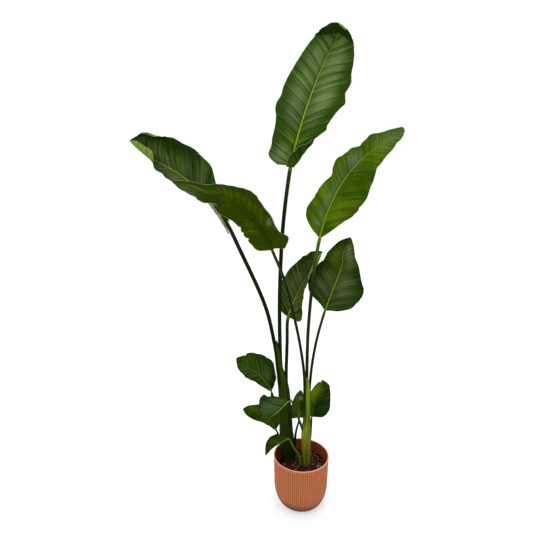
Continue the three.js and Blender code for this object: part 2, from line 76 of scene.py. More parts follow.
# The leaves, in the frame's millimetres. What has two parts gives the left half and then the right.
# route is the line of the stalk and then of the midrib. blade is the point of it where the blade starts,
# and join the point where the leaf leaves its fan. radii are those of the foot, the blade's base and the
# tip. face is where the upper side looks, from base to tip. left and right are half-widths at
# WIDTH_STATIONS.
# fold raises a half at the midrib, arch bends it on towards its edge, and curl rolls it over at the part
# of its width that turn gives. They are degrees, as even steps from base to tip or as pairs of a place
# along the blade and a value.
# lobes is how far the base reaches back beside the stalk. waves and swell are the number and height of the
# long waves, ripple the height and spacing of the pads between veins, and slant how far the veins run
# towards the tip for each step outwards.
# hood is the length of the tip that bends forward, and how far its crease leans on each half. nicks are
# small gaps in an edge: the side, the place along the blade, the depth, which is below 0 for a bulge, and
# the half-length. scraps cling to the stalk: where they start and end from the blade's base, the side, the
# half-width, and whether they are dry.
LEAVES = {
    "leaf_top": dict(
        route=[(-44, 34, 100), (-54, 33, 220), (-67, 27, 430), (-82, 21, 560), (-88, 16, 690),
               (-90, 0, 890), (-80, -22, 1140), (-57, -30, 1335), (-43, -30, 1400), (-10, -25, 1514),
               (46, -20, 1661), (77, -27, 1720), (87, -38, 1750), (86, -62, 1776)],
        blade=7, join=4, radii=(8, 6.8, 1.3),
        face=[(-0.1, -1, 0.1), (-0.05, -1, 0.08), (0, -1, 0.05), (0.06, -0.98, -0.08),
              (-0.3, -0.95, -0.2)],
        left=[3, 72, 80, 84, 99, 93, 80, 68, 58, 20],
        right=[44, 70, 78, 72, 92, 110, 110, 84, 48, 8],
        fold=[[6, 8, 8], [8]],
        arch=[[-15], [(0, 0), (0.16, 0), (0.26, -15), (0.85, -20), (1, 0)]],
        curl=[[0], [(0, 172), (0.18, 172), (0.32, 0), (1, 0)]],
        turn=[[0.8], [(0, 0.35), (0.07, 0.42), (0.13, 0.55), (0.2, 0.8), (0.28, 0.93), (1, 0.95)]],
        lobes=(18, 2), waves=6, swell=5, ripple=(3.4, 33), slant=(0.4, 0.75), hood=(33, 0.5, 0.3),
        nicks=[(-1, 0.905, 5, 0.02), (-1, 0.965, -7, 0.02), (-1, 0.36, -4, 0.035), (-1, 0.44, 5, 0.04),
               (1, 0.53, -8, 0.035), (1, 0.62, 6, 0.04), (1, 0.31, -8, 0.025), (1, 0.22, 2, 0.025)],
    ),
    "leaf_far_left": dict(
        route=[(-44, 34, 100), (-56, 33, 220), (-73, 27, 430), (-94, 22, 560), (-102, 18, 637),
               (-111, 16, 688), (-133, 10, 792), (-159, 0, 871), (-228, -5, 1028), (-284, 5, 1143),
               (-330, 0, 1210), (-372, -5, 1253), (-445, -15, 1313), (-527, -25, 1362),
               (-567, -30, 1394), (-601, -30, 1422)],
        blade=10, join=5, radii=(7.5, 7.2, 1.2),
        face=[(0.4, -0.75, 0.5)],
        left=[3, 18, 36, 56, 58, 56, 52, 48, 38, 4],
        right=[3, 42, 58, 90, 98, 98, 92, 84, 62, 4],
        fold=[[(0, 25), (0.5, 25), (0.75, 0), (1, 0)], [40, 40, 35, 20]],
        arch=[[(0, -15), (0.5, -10), (0.62, 20), (0.8, 215), (1, 240)], [-15, -10, 0, 20]],
        curl=[[0], [(0, 0), (0.68, 0), (0.86, 170), (1, 170)]],
        turn=[[0.78], [0.86]],
        waves=5, swell=3, ripple=(0.8, 17),
        nicks=[(1, 0.96, -10, 0.025)],
        scraps=[(-125, 40, -1, 6.5, True), (-88, -52, 1, 3.5, False)],
    ),
    "leaf_middle": dict(
        route=[(-43, 34, 100), (-50, 33, 220), (-58, 30, 430), (-61, 27, 500), (-62, 26, 568),
               (-61, 30, 602), (-59, 40, 672), (-56, 52, 770), (-38, 60, 818), (-3, 76, 891),
               (24, 80, 934), (50, 72, 967), (70, 50, 1028)],
        blade=7, join=5, radii=(7.4, 6.5, 1.2),
        face=[(-0.65, -0.57, 0.4)],
        left=[3, 34, 46, 62, 80, 72, 66, 56, 38, 4],
        right=[18, 50, 60, 56, 49, 43, 34, 28, 22, 4],
        fold=[[35], [(0, -10), (0.3, 25), (0.55, 30), (0.8, 0), (1, 0)]],
        arch=[[-10, -10, -10, 0], [(0, -30), (0.4, -10), (0.55, 0), (0.85, 210), (1, 250)]],
        lobes=(6, 25), waves=4, swell=4, ripple=(0.9, 20),
    ),
    "leaf_arching": dict(
        route=[(18, -4, 100), (15, -6, 220), (8, -18, 459), (3, -30, 568), (-12, -45, 675),
               (-37, -65, 798), (-79, -100, 958), (-121, -125, 1064), (-147, -140, 1124),
               (-170, -150, 1159), (-211, -165, 1197), (-272, -180, 1249), (-328, -180, 1263),
               (-379, -170, 1282), (-442, -150, 1292)],
        blade=7, join=3, radii=(6, 5, 1.2),
        face=[(-0.52, 0.24, 0.81), (-0.4, 0.5, 0.75), (-0.1, 0.85, 0.5)],
        left=[34, 70, 48, 52, 72, 54, 27, 12, 6, 3],
        right=[3, 42, 56, 62, 60, 68, 58, 44, 34, 4],
        fold=[[12, 8, 10], [12, 8, 10]],
        lobes=(28, 4), waves=4, swell=5, ripple=(0.8, 34),
        nicks=[(1, 0.18, 7, 0.012), (1, 0.255, 5, 0.01), (1, 0.31, 6, 0.014)],
    ),
    "leaf_right": dict(
        route=[(20, -2, 100), (19, -4, 220), (17, -12, 459), (15, -15, 568), (15, -20, 708),
               (17, -25, 776), (28, -40, 954), (46, -56, 1094), (67, -65, 1178), (110, -75, 1276),
               (164, -70, 1347), (251, -55, 1419), (316, -40, 1464)],
        blade=7, join=3, radii=(6.5, 6, 1.2),
        face=[(-0.3, -1, 0.3)],
        left=[3, 36, 68, 66, 54, 58, 46, 34, 16, 3],
        right=[3, 24, 48, 86, 98, 82, 56, 42, 32, 12],
        fold=[[10], [10]],
        waves=6, swell=5, ripple=(2.6, 40),
        nicks=[(-1, 0.68, 8, 0.03), (-1, 0.79, -6, 0.04), (-1, 0.43, 8, 0.03), (-1, 0.53, -6, 0.04),
               (1, 0.665, 4, 0.03), (1, 0.33, 3, 0.02), (1, 0.26, 2, 0.012), (1, 0.18, 2.5, 0.012),
               (1, 0.89, 4, 0.03)],
    ),
    "leaf_lower_right": dict(
        route=[(22, -2, 100), (23, -2, 220), (24, -6, 400), (29, 0, 515), (38, 10, 604), (57, 25, 702),
               (85, 40, 800), (106, 45, 860), (128, 50, 921), (145, 55, 972), (149, 60, 1008),
               (160, 75, 1045), (181, 90, 1074)],
        blade=6, join=3, radii=(6, 5, 1.2),
        face=[(-0.2, -1, 0.2)],
        left=[3, 24, 70, 98, 100, 84, 66, 42, 18, 3],
        right=[3, 42, 80, 104, 110, 80, 50, 38, 26, 3],
        fold=[[12, 8, 10], [12, 8, 10]],
        lobes=(0, 6), waves=4, swell=4, ripple=(1.6, 30),
    ),
    "small_leaf_upper_left": dict(
        route=[(-62, 30, 330), (-76, 26, 372), (-92, 18, 410), (-110, 5, 450), (-120, -5, 488),
               (-149, -20, 540), (-173, -30, 573), (-203, -35, 597), (-237, -38, 620),
               (-251, -35, 639)],
        blade=4, join=2, radii=(4.5, 3.5, 1),
        face=[(0.35, -0.7, 0.6)],
        left=[3, 10, 22, 38, 54, 66, 70, 56, 24, 3],
        right=[3, 46, 66, 86, 86, 78, 66, 52, 44, 3],
        fold=[[50, 50, 40], [5]],
        waves=4, swell=3, ripple=(1.6, 24),
        nicks=[(1, 0.93, 9, 0.018)],
        scraps=[(-24, -2, -1, 3.8, False)],
    ),
    "small_leaf_front": dict(
        route=[(15, -7, 205), (12, -8, 262), (6, -10, 315), (-4, -18, 351), (-13, -27, 378),
               (-22, -40, 411), (-35, -58, 451), (-45, -80, 484), (-50, -97, 502), (-58, -105, 500),
               (-76, -120, 492), (-91, -135, 483), (-132, -165, 465), (-144, -178, 460)],
        blade=9, join=3, radii=(7.5, 2.4, 0.8),
        face=[(0, -0.86, 0.5)],
        left=[3, 24, 40, 54, 60, 60, 54, 42, 26, 3],
        right=[3, 18, 32, 60, 76, 80, 74, 56, 32, 3],
        fold=[[-80], [0]],
        waves=3, swell=2, ripple=(0.7, 14),
    ),
    "small_leaf_left": dict(
        route=[(-56, 32, 200), (-66, 30, 225), (-80, 20, 258), (-93, 5, 297), (-102, -3, 322),
               (-120, -20, 365), (-149, -32, 398), (-187, -40, 419), (-229, -40, 432)],
        blade=4, join=3, radii=(4.5, 3.5, 1),
        face=[(0, -0.8, 0.5)],
        left=[3, 8, 12, 18, 26, 30, 34, 30, 20, 3],
        right=[3, 12, 26, 42, 50, 42, 34, 24, 15, 3],
        fold=[[45], [15]],
        waves=3, swell=2, ripple=(0.8, 18),
    ),
    "small_leaf_low": dict(
        route=[(-1, -3, 100), (-1, -4, 157), (-4, -6, 192), (-13, -10, 220), (-31, -20, 251),
               (-44, -32, 286), (-55, -45, 308), (-82, -60, 302), (-103, -74, 298), (-122, -87, 290),
               (-142, -98, 272)],
        blade=6, join=0, radii=(5.2, 3.5, 1),
        face=[(0, -0.86, 0.5)],
        left=[3, 20, 28, 32, 34, 34, 32, 26, 16, 3],
        right=[3, 10, 16, 34, 38, 38, 32, 20, 10, 3],
        fold=[[-80], [0]],
        waves=3, swell=2, ripple=(0.6, 14),
    ),
    "small_leaf_centre": dict(
        route=[(-36, 36, 130), (-31, 37, 160), (-26, 38, 190), (-23, 38, 235), (-21, 38, 272),
               (-17, 39, 297), (-9, 42, 327), (-6, 46, 345), (-8, 52, 385), (-8, 58, 420),
               (0, 66, 455)],
        blade=7, join=5, radii=(7, 3.5, 1),
        face=[(0, -0.9, 0.5)],
        left=[14, 28, 34, 34, 32, 27, 20, 14, 8, 3],
        right=[12, 18, 21, 23, 23, 22, 20, 16, 10, 3],
        fold=[[12], [12]],
        lobes=(40, 30), waves=3, swell=2, ripple=(0.8, 16),
    ),
    "small_leaf_right": dict(
        route=[(26, 2, 210), (34, 14, 245), (39, 26, 275), (42, 36, 315), (44, 44, 350),
               (50, 52, 380), (61, 60, 412), (77, 66, 453), (88, 68, 499)],
        blade=4, join=2, radii=(4.5, 3.5, 1),
        face=[(0, -0.9, 0.5)],
        left=[3, 12, 18, 24, 30, 33, 30, 23, 14, 3],
        right=[10, 36, 54, 62, 62, 55, 45, 36, 27, 3],
        fold=[[12], [12]],
        lobes=(6, 15), waves=3, swell=3, ripple=(0.8, 20),
        nicks=[(-1, 0.95, 8, 0.02)],
    ),
}

# The screen colours of each leaf, from 0 to 255: its upper side where it is deep and where it is bright,
# which are its own darker and lighter tones and also its painted shade and painted light, the painted
# grey sheen on it, its underside, its midrib from above and from below, and its stalk at the foot and
# at the blade. tone is its usual place between deep and bright, and under_lift is added to it below.
# streaks is how strong the streaks along its veins are; lines is how strong the painted shade in its
# creases is, with the painted highlight on their crests and the painted light and shade across each pad;
# groove is how strong the painted shade in the groove beside its midrib is. patches are soft patches of
# painted light and shade and of painted sheen on the blade: the place along it and across it, their
# length and width, and how much tone and sheen they add.
LOOKS = {
    "leaf_top": dict(
        deep=(36, 62, 2), bright=(84, 108, 30), sheen=(112, 132, 92), under=(44, 72, 4),
        rib=(122, 148, 30), rib_under=(60, 84, 10), foot=(8, 22, 1), neck=(24, 44, 2),
        tone=0.21, streaks=0.38, lines=0.7, groove=0.7,
        patches=[(0.07, -0.6, 0.05, 0.35, 0.1, 0.7), (0.27, -0.7, 0.14, 0.5, -0.55, 0),
                 (0.47, -0.4, 0.22, 0.3, 0, 0.45), (0.75, -0.45, 0.14, 0.5, -0.05, 0.3),
                 (0.52, 0.35, 0.2, 0.3, 0.15, 0.5), (0.8, 0.35, 0.1, 0.3, 0, 0.4),
                 (0.5, 0.95, 0.25, 0.3, -0.35, 0), (0.25, 0.5, 0.14, 0.5, -0.45, 0)],
    ),
    "leaf_far_left": dict(
        deep=(22, 42, 4), bright=(62, 84, 24), sheen=(88, 102, 70), under=(102, 128, 46),
        rib=(118, 144, 30), rib_under=(110, 130, 50), foot=(8, 22, 1), neck=(20, 38, 2),
        tone=0.34, streaks=0.75, lines=0.2, groove=0.25, under_lift=0.4,
        patches=[(0.85, 0.8, 0.14, 0.35, -0.35, 0), (0.55, 0.85, 0.1, 0.25, -0.3, 0),
                 (0.45, -0.5, 0.25, 0.5, 0, 0.5), (0.3, 0.5, 0.12, 0.4, 0.1, 0.3),
                 (0.65, 0.25, 0.15, 0.2, 0, 0.35)],
    ),
    "leaf_middle": dict(
        deep=(26, 38, 3), bright=(70, 86, 26), sheen=(96, 106, 76), under=(98, 120, 44),
        rib=(104, 130, 30), rib_under=(90, 110, 40), foot=(9, 24, 1), neck=(22, 40, 2),
        tone=0.44, streaks=0.7, groove=0.3, under_lift=0.4,
        patches=[(0.5, -0.35, 0.25, 0.35, 0, 0.35), (0.2, 0.4, 0.15, 0.4, 0, 0.3),
                 (0.8, -0.75, 0.2, 0.25, -0.35, 0), (0.6, 0.6, 0.2, 0.3, 0.1, 0.25)],
    ),
    "leaf_arching": dict(
        deep=(24, 44, 1), bright=(80, 104, 4), sheen=(118, 128, 84), under=(74, 104, 0),
        rib=(100, 124, 24), rib_under=(30, 44, 1), foot=(12, 26, 1), neck=(30, 46, 1),
        tone=-0.03, streaks=0.4, lines=0.04, groove=0.3, under_lift=0,
        patches=[(0.35, -0.45, 0.16, 0.35, 0.4, 0), (0.62, -0.3, 0.12, 0.5, 0.3, 0),
                 (0.45, 0.8, 0.2, 0.35, -0.3, 0), (0.1, 0.1, 0.08, 0.3, -0.25, 0),
                 (0.78, 0.05, 0.1, 0.14, 0.2, 0.9), (0.2, -0.7, 0.03, 0.2, 0.2, 0.5),
                 (0.25, 0.5, 0.1, 0.3, 0.25, 0), (0.9, 0.6, 0.1, 0.4, -0.1, 0.35)],
    ),
    "leaf_right": dict(
        deep=(38, 64, 0), bright=(84, 110, 4), sheen=(108, 118, 90), under=(76, 100, 10),
        rib=(104, 130, 12), rib_under=(84, 106, 10), foot=(12, 26, 1), neck=(60, 82, 3),
        tone=0.29, streaks=0.4, groove=0.15,
        patches=[(0.3, -0.25, 0.2, 0.22, 0, 0.45), (0.6, -0.35, 0.06, 0.4, 0, 0.5),
                 (0.1, -0.4, 0.015, 0.2, 0, 0.5), (0.22, 0.5, 0.14, 0.5, 0.25, 0),
                 (0.47, 0.6, 0.05, 0.4, -0.35, 0), (0.6, 0.5, 0.06, 0.4, -0.2, 0),
                 (0.88, 0.1, 0.1, 0.8, 0, 0.4), (0.05, 0.3, 0.06, 0.4, -0.3, 0),
                 (0.25, -0.8, 0.25, 0.35, 0.28, 0)],
    ),
    "leaf_lower_right": dict(
        deep=(22, 42, 1), bright=(62, 84, 16), sheen=(96, 108, 80), under=(90, 116, 40),
        rib=(108, 136, 24), rib_under=(84, 106, 20), foot=(12, 28, 1), neck=(32, 50, 2),
        tone=0.33, streaks=0.6, lines=0.22, groove=0.4,
        patches=[(0.35, 0.35, 0.2, 0.35, 0.1, 0.4), (0.3, -0.4, 0.15, 0.35, 0, 0.3),
                 (0.75, -0.35, 0.12, 0.3, 0.4, 0), (0.93, -0.2, 0.08, 0.6, -0.25, 0),
                 (0.8, 0.5, 0.12, 0.4, 0.1, 1), (0.1, 0.8, 0.12, 0.3, 0.15, 0),
                 (0.5, -0.9, 0.3, 0.25, -0.35, 0), (0.5, 0.95, 0.3, 0.2, -0.25, 0)],
    ),
    "small_leaf_upper_left": dict(
        deep=(20, 38, 2), bright=(54, 76, 8), sheen=(78, 94, 58), under=(88, 112, 40),
        rib=(122, 146, 14), rib_under=(80, 100, 16), foot=(8, 22, 1), neck=(26, 44, 2),
        tone=0.22, streaks=0.9, lines=0.14,
        patches=[(0.35, 0.3, 0.2, 0.3, 0.1, 0.4), (0.1, 0.5, 0.15, 0.4, -0.2, 0),
                 (0.6, -0.5, 0.25, 0.5, 0, 0.3), (0.85, 0.3, 0.12, 0.5, 0.1, 0)],
    ),
    "small_leaf_front": dict(
        deep=(22, 44, 4), bright=(54, 80, 16), sheen=(92, 106, 78), under=(40, 62, 4),
        rib=(112, 136, 58), rib_under=(60, 80, 10), foot=(36, 52, 2), neck=(48, 68, 4),
        tone=0.2, streaks=0.8, lines=0.12,
        patches=[(0.45, 0.35, 0.25, 0.3, 0, 0.4), (0.6, 0.92, 0.5, 0.16, -0.35, 0),
                 (0.85, 0.6, 0.12, 0.4, 0.1, 0.2)],
    ),
    "small_leaf_left": dict(
        deep=(22, 44, 1), bright=(60, 84, 2), sheen=(78, 92, 50), under=(70, 92, 16),
        rib=(84, 108, 10), rib_under=(70, 90, 10), foot=(8, 22, 1), neck=(24, 42, 2),
        tone=0.3, streaks=0.6,
        patches=[(0.75, 0.3, 0.15, 0.4, 0.15, 0.2), (0.3, 0.3, 0.2, 0.5, -0.15, 0)],
    ),
    "small_leaf_low": dict(
        deep=(18, 38, 1), bright=(52, 72, 6), sheen=(70, 92, 30), under=(34, 54, 3),
        rib=(80, 106, 14), rib_under=(50, 70, 4), foot=(78, 92, 20), neck=(60, 76, 6),
        tone=0.2, streaks=0.8,
        patches=[(0.4, 0.3, 0.25, 0.3, 0.15, 0), (0.5, 0.9, 0.4, 0.2, -0.25, 0)],
    ),
    "small_leaf_centre": dict(
        deep=(20, 38, 1), bright=(76, 98, 4), sheen=(150, 160, 140), under=(70, 92, 8),
        rib=(96, 118, 10), rib_under=(70, 90, 8), foot=(9, 24, 1), neck=(38, 56, 2),
        tone=0.44, streaks=0.6,
        patches=[(0.72, 0.3, 0.07, 0.6, 0, 0.6), (0.3, -0.6, 0.25, 0.4, 0.3, 0),
                 (0.5, 0.5, 0.3, 0.4, -0.2, 0)],
    ),
    "small_leaf_right": dict(
        deep=(16, 36, 1), bright=(92, 112, 4), sheen=(72, 92, 64), under=(80, 104, 10),
        rib=(60, 86, 5), rib_under=(70, 90, 8), foot=(14, 32, 1), neck=(30, 50, 2),
        tone=0.24, streaks=0.5, lines=0.04, groove=0.1,
        patches=[(0.65, -0.6, 0.35, 0.55, 0.5, 0), (0.3, 0.7, 0.4, 0.5, -0.6, 0.1),
                 (0.95, 0.3, 0.1, 0.5, -0.2, 0.2)],
    ),
}

# The two trunks of wrapped leaf sheaths: the centre and radius at each height, and the sheaths from the
# outermost in. A sheath wraps the side that its leaf leaves on, and its front edge is given as degrees
# round from the front, positive to the right, at heights up to where the leaf leaves.
TRUNKS = {
    "fan_left": dict(
        line=[(-45, 34, 100, 23), (-48, 34, 157, 25.5), (-51, 34, 196, 29), (-56, 33, 235, 28.5),
              (-57.5, 32, 275, 27), (-60, 31, 320, 25), (-63.5, 29, 380, 24), (-67, 28, 430, 22.5),
              (-71, 26, 481, 21), (-77, 24, 520, 19), (-85, 21, 560, 14), (-91, 19.5, 598, 12),
              (-94, 18.5, 637, 11), (-98, 17.5, 665, 6), (-99.5, 17, 690, 0.6)],
        sheaths=[(-1, [(100, 4), (220, 0), (285, -45), (330, -110)]),
                 (1, [(100, 14), (200, 18), (250, 50), (290, 110)]),
                 (1, [(100, 8), (300, 18), (430, 12), (520, 18), (566, 75)]),
                 (-1, [(100, -20), (300, -50), (430, -36), (500, -26), (560, 4), (640, -6),
                       (690, -70)])],
    ),
    "fan_right": dict(
        line=[(20, -2, 100, 13), (20, -3, 157, 14.5), (20, -4, 215, 16.5), (18, -5, 262, 17.5),
              (17, -6, 300, 17.5), (18, -8, 345, 15.5), (18.5, -10, 403, 13), (18, -12, 459, 12.3),
              (16, -14, 520, 8.8), (15, -15, 554, 5.6)],
        sheaths=[(-1, [(100, -20), (170, -28), (225, -50), (262, -110)]),
                 (1, [(100, 20), (180, 30), (215, 60), (245, 110)]),
                 (1, [(100, -30), (400, 6), (470, 20), (532, 92)]),
                 (-1, [(100, 30), (430, 2), (500, -20), (562, -92)])],
    ),
}

# Where stems stand in the soil: their places and radii, which the grit keeps clear of.
STEM_FEET = [(-45, 34, 30), (19, -3, 19), (-6, -3, 5)]

# The pot and the soil in it, in millimetres.
SOIL_TOP = 164
POT_HEIGHT = 210
RIM_RADIUS = 110
SHOULDER_RADIUS = 107
SHOULDER_HEIGHT = 95
FOOT_RADIUS = 58
WALL = 4.5
FLOOR = 5
LIP_HEIGHT = 7
LIP_STEP = 0.6


def colour_property(name, description, default):
    return FloatVectorProperty(
        name=name, description=description, default=default, subtype="COLOR", min=0, max=1)


def size_property(name, description, default, low, high):
    return FloatProperty(
        name=name, description=description + ", in millimetres", default=default, min=low, max=high)


class LeafSettings(bpy.types.PropertyGroup):
    """Sizes that all leaves share."""

    thickness: size_property("Thickness", "Thickness of a blade beside its midrib", 0.75, 0.3, 2)
    row_step: size_property("Row Step", "Distance between the rows of a blade's mesh", 2.3, 1, 10)
    vein_slant: FloatProperty(
        name="Vein Slant", description="How far a vein runs towards the tip for each step outwards",
        default=0.65, min=0, max=2)
    half_columns: IntProperty(
        name="Half Columns", description="Columns of the mesh on each side of a large leaf's midrib",
        default=36, min=4, max=80)


class TrunkSettings(bpy.types.PropertyGroup):
    """Sizes and colours of the wrapped sheaths."""

    sheath: size_property("Sheath", "Thickness of one wrapped sheath", 1.3, 0.2, 4)
    dark: colour_property("Dark Green", "Outer sheaths of the left trunk", (0.007, 0.022, 0.001))
    olive: colour_property(
        "Olive", "Inner sheaths of the left trunk and their edges", (0.028, 0.046, 0.001))
    light: colour_property("Light Green", "Outer sheaths of the right trunk", (0.05, 0.085, 0.002))
    pale: colour_property(
        "Pale Edge", "Inner sheaths of the right trunk and their edges", (0.175, 0.21, 0.011))
    brown: colour_property("Brown", "Dry streaks and the foot of each trunk", (0.09, 0.05, 0.008))


class PotSettings(bpy.types.PropertyGroup):
    """Sizes and colours of the pot and the soil."""

    rib_count: IntProperty(
        name="Ribs", description="Number of upright ribs round the pot", default=84, min=12, max=300)
    rib_relief: size_property("Rib Relief", "Depth of the grooves between ribs", 1.2, 0, 4)
    colour: colour_property("Pot Colour", "Moulded plastic of the pot", (0.46, 0.136, 0.05))
    lip_colour: colour_property("Lip Colour", "Smooth band along the rim", (0.56, 0.23, 0.14))
    soil_colour: colour_property("Soil Colour", "Damp potting mix", (0.02, 0.0046, 0.0016))
    grit_count: IntProperty(
        name="Grit", description="Number of crumbs of bark and pale grit on the soil",
        default=520, min=0, max=2000)


class StudioSettings(bpy.types.PropertyGroup):
    """Light and floor."""

    dome: FloatProperty(
        name="Dome", description="Strength of the soft light from overhead", default=1.4, min=0, max=4)
    horizon: FloatProperty(
        name="Horizon", description="Strength of the soft light from the sides", default=0.2,
        min=0, max=4)
    key: FloatProperty(
        name="Key Light", description="Power of the large light in front and above", subtype="POWER",
        default=40, min=0, max=1000)
    floor_colour: colour_property("Floor Colour", "Plain pale floor", (0.92, 0.92, 0.92))


class Socket:
    """The output of a node, on which Python's operators add Math nodes."""

    def __init__(self, nodes, socket):
        self.nodes = nodes
        self.socket = socket

    def math(self, operation, *others):
        return self.nodes.math(operation, self, *others)

    def __add__(self, other):
        return self.math("ADD", other)

    def __sub__(self, other):
        return self.math("SUBTRACT", other)

    def __mul__(self, other):
        return self.math("MULTIPLY", other)

    def __truediv__(self, other):
        return self.math("DIVIDE", other)

    # The reflected forms, with a number before the socket.
    __radd__ = __add__
    __rmul__ = __mul__

    def __rsub__(self, other):
        return self.nodes.math("SUBTRACT", other, self)

    def __rtruediv__(self, other):
        return self.nodes.math("DIVIDE", other, self)

    def between(self, low, high):
        """0 at low and 1 at high, smooth between and level beyond."""
        settings = {"interpolation_type": "SMOOTHSTEP"}
        return self.nodes.add("ShaderNodeMapRange", settings, {0: self, 1: low, 2: high, 3: 0, 4: 1})


class Nodes:
    """The node tree of a new material, or a tree that is already there."""

    def __init__(self, name, tree=None):
        self.tree = tree
        if tree is None:
            self.material = bpy.data.materials.new(name)
            self.material.use_nodes = True
            self.tree = self.material.node_tree
            self.tree.nodes.clear()

    def add(self, kind, settings=None, sockets=None, output=0):
        """Adds a node with its settings, then the values or links of its sockets."""
        node = self.tree.nodes.new(kind)
        for name, value in (settings or {}).items():
            setattr(node, name, value)
        for name, value in (sockets or {}).items():
            if isinstance(value, Socket):
                self.tree.links.new(value.socket, node.inputs[name])
            else:
                node.inputs[name].default_value = value
        return Socket(self, node.outputs[output]) if node.outputs else None

    def math(self, operation, *values):
        return self.add("ShaderNodeMath", {"operation": operation}, dict(enumerate(values)))

    def attributes(self, *names):
        """The numbers that the mesh holds at its points, one for each name."""
        kind = "ShaderNodeAttribute"
        return (self.add(kind, {"attribute_name": name}, output="Fac") for name in names)

    def noise(self, vector, scale, detail, roughness):
        sockets = {"Vector": vector, "Scale": scale, "Detail": detail, "Roughness": roughness}
        return self.add("ShaderNodeTexNoise", None, sockets)

    def grain(self, scale, detail, roughness=0.5, stretch=(1, 1, 1)):
        """Noise that is fixed to the object, its places in metres stretched along each axis."""
        here = self.add("ShaderNodeTexCoord", None, None, "Object")
        place = self.add("ShaderNodeVectorMath", {"operation": "MULTIPLY"}, {0: here, 1: stretch})
        return self.noise(place, scale, detail, roughness)

    def fibre(self, x, y, z, detail, roughness=0.5):
        """Noise over three numbers of the surface."""
        place = self.add("ShaderNodeCombineXYZ", None, {0: x, 1: y, 2: z})
        return self.noise(place, 1, detail, roughness)

    def mix(self, share, first, second):
        """A mix of two colours."""
        first, second = ((*c, 1) if isinstance(c, tuple) else c for c in (first, second))
        settings = {"data_type": "RGBA", "clamp_factor": True}
        return self.add("ShaderNodeMix", settings, {0: share, 6: first, 7: second}, output=2)

    def finish(self, colour, roughness, gloss, relief=None, glow=None):
        """Ends the tree in a Principled shader. relief is a height, its distance and its strength."""
        sockets = {"Base Color": colour, "Roughness": roughness, "Specular IOR Level": gloss}
        if relief:
            bump = dict(zip(("Height", "Distance", "Strength"), relief))
            sockets["Normal"] = self.add("ShaderNodeBump", None, bump)
        if glow:
            sockets.update({"Emission Color": (*glow, 1), "Emission Strength": 1.0})
        shader = self.add("ShaderNodeBsdfPrincipled", None, sockets)
        self.add("ShaderNodeOutputMaterial", None, {"Surface": shader})
        return self.material


def linear(colour):
    """A screen colour from 0 to 255 as the light values that a shader takes."""
    parts = (c / 255 for c in colour)
    return tuple(c / 12.92 if c <= 0.04045 else ((c + 0.055) / 1.055) ** 2.4 for c in parts)


def dimmed(colour, share):
    return tuple(c * share for c in colour)


def rise(x, low, high):
    """0 up to low, 1 from high, and smooth between."""
    a = np.clip((x - low) / (high - low), 0, 1)
    return a * a * (3 - 2 * a)


def unit(vectors):
    return vectors / np.linalg.norm(vectors, axis=-1, keepdims=True)


def smooth(values, t, stations=None):
    """The smooth line through values, evenly spaced or at stations, read at each t."""
    values = np.asarray(values, float)
    t = np.asarray(t, float)
    if len(values) == 1:
        return np.broadcast_to(values[0], t.shape + values.shape[1:])
    places = np.linspace(0, 1, len(values)) if stations is None else np.asarray(stations, float)
    slopes = np.gradient(values, places, axis=0)
    i = np.clip(np.searchsorted(places, t, side="right") - 1, 0, len(values) - 2)
    step = places[i + 1] - places[i]
    a = (t - places[i]) / step
    if values.ndim > 1:
        step, a = step[..., None], a[..., None]
    return (
        (2 * a**3 - 3 * a**2 + 1) * values[i]
        + (a**3 - 2 * a**2 + a) * step * slopes[i]
        + (3 * a**2 - 2 * a**3) * values[i + 1]
        + (a**3 - a**2) * step * slopes[i + 1]
    )


def read(values, t):
    """The smooth line through evenly spaced values, or smooth steps from pair to pair of place and value."""
    if not isinstance(values[0], tuple):
        return smooth(values, t)
    places, values = zip(*values)
    return values[0] + sum(
        (after - before) * rise(t, low, high)
        for low, high, before, after in zip(places, places[1:], values, values[1:])
    )


class Route:
    """A smooth line through points, read by the distance along it."""

    STEPS = 80

    def __init__(self, points):
        p = np.array(points, float)
        p = np.vstack([2 * p[0] - p[1], p, 2 * p[-1] - p[-2]])
        a = np.arange(self.STEPS)[:, None] / self.STEPS
        spans = []
        # Each span between two points takes its slopes from the points round it, spaced by the root of
        # their distances.
        for p0, p1, p2, p3 in zip(p, p[1:], p[2:], p[3:]):
            d0, d1, d2 = (np.linalg.norm(u - v) ** 0.5 for u, v in ((p1, p0), (p2, p1), (p3, p2)))
            t1 = ((p1 - p0) / d0 - (p2 - p0) / (d0 + d1) + (p2 - p1) / d1) * d1
            t2 = ((p2 - p1) / d1 - (p3 - p1) / (d1 + d2) + (p3 - p2) / d2) * d1
            bend = 3 * (p2 - p1) - 2 * t1 - t2
            turn = 2 * (p1 - p2) + t1 + t2
            spans.append(p1 + t1 * a + bend * a**2 + turn * a**3)
        self.places = np.vstack([*spans, p[-2]])
        steps = np.linalg.norm(np.diff(self.places, axis=0), axis=1)
        self.distance = np.concatenate([[0], np.cumsum(steps)])
        self.directions = unit(np.gradient(self.places, self.distance, axis=0))
        self.length = self.distance[-1]

    def at_point(self, index):
        return self.distance[index * self.STEPS]

    def read(self, table, s):
        return np.stack([np.interp(s, self.distance, table[:, k]) for k in range(3)], axis=-1)

    def at(self, s):
        return self.read(self.places, s)

    def along(self, s):
        return unit(self.read(self.directions, s))


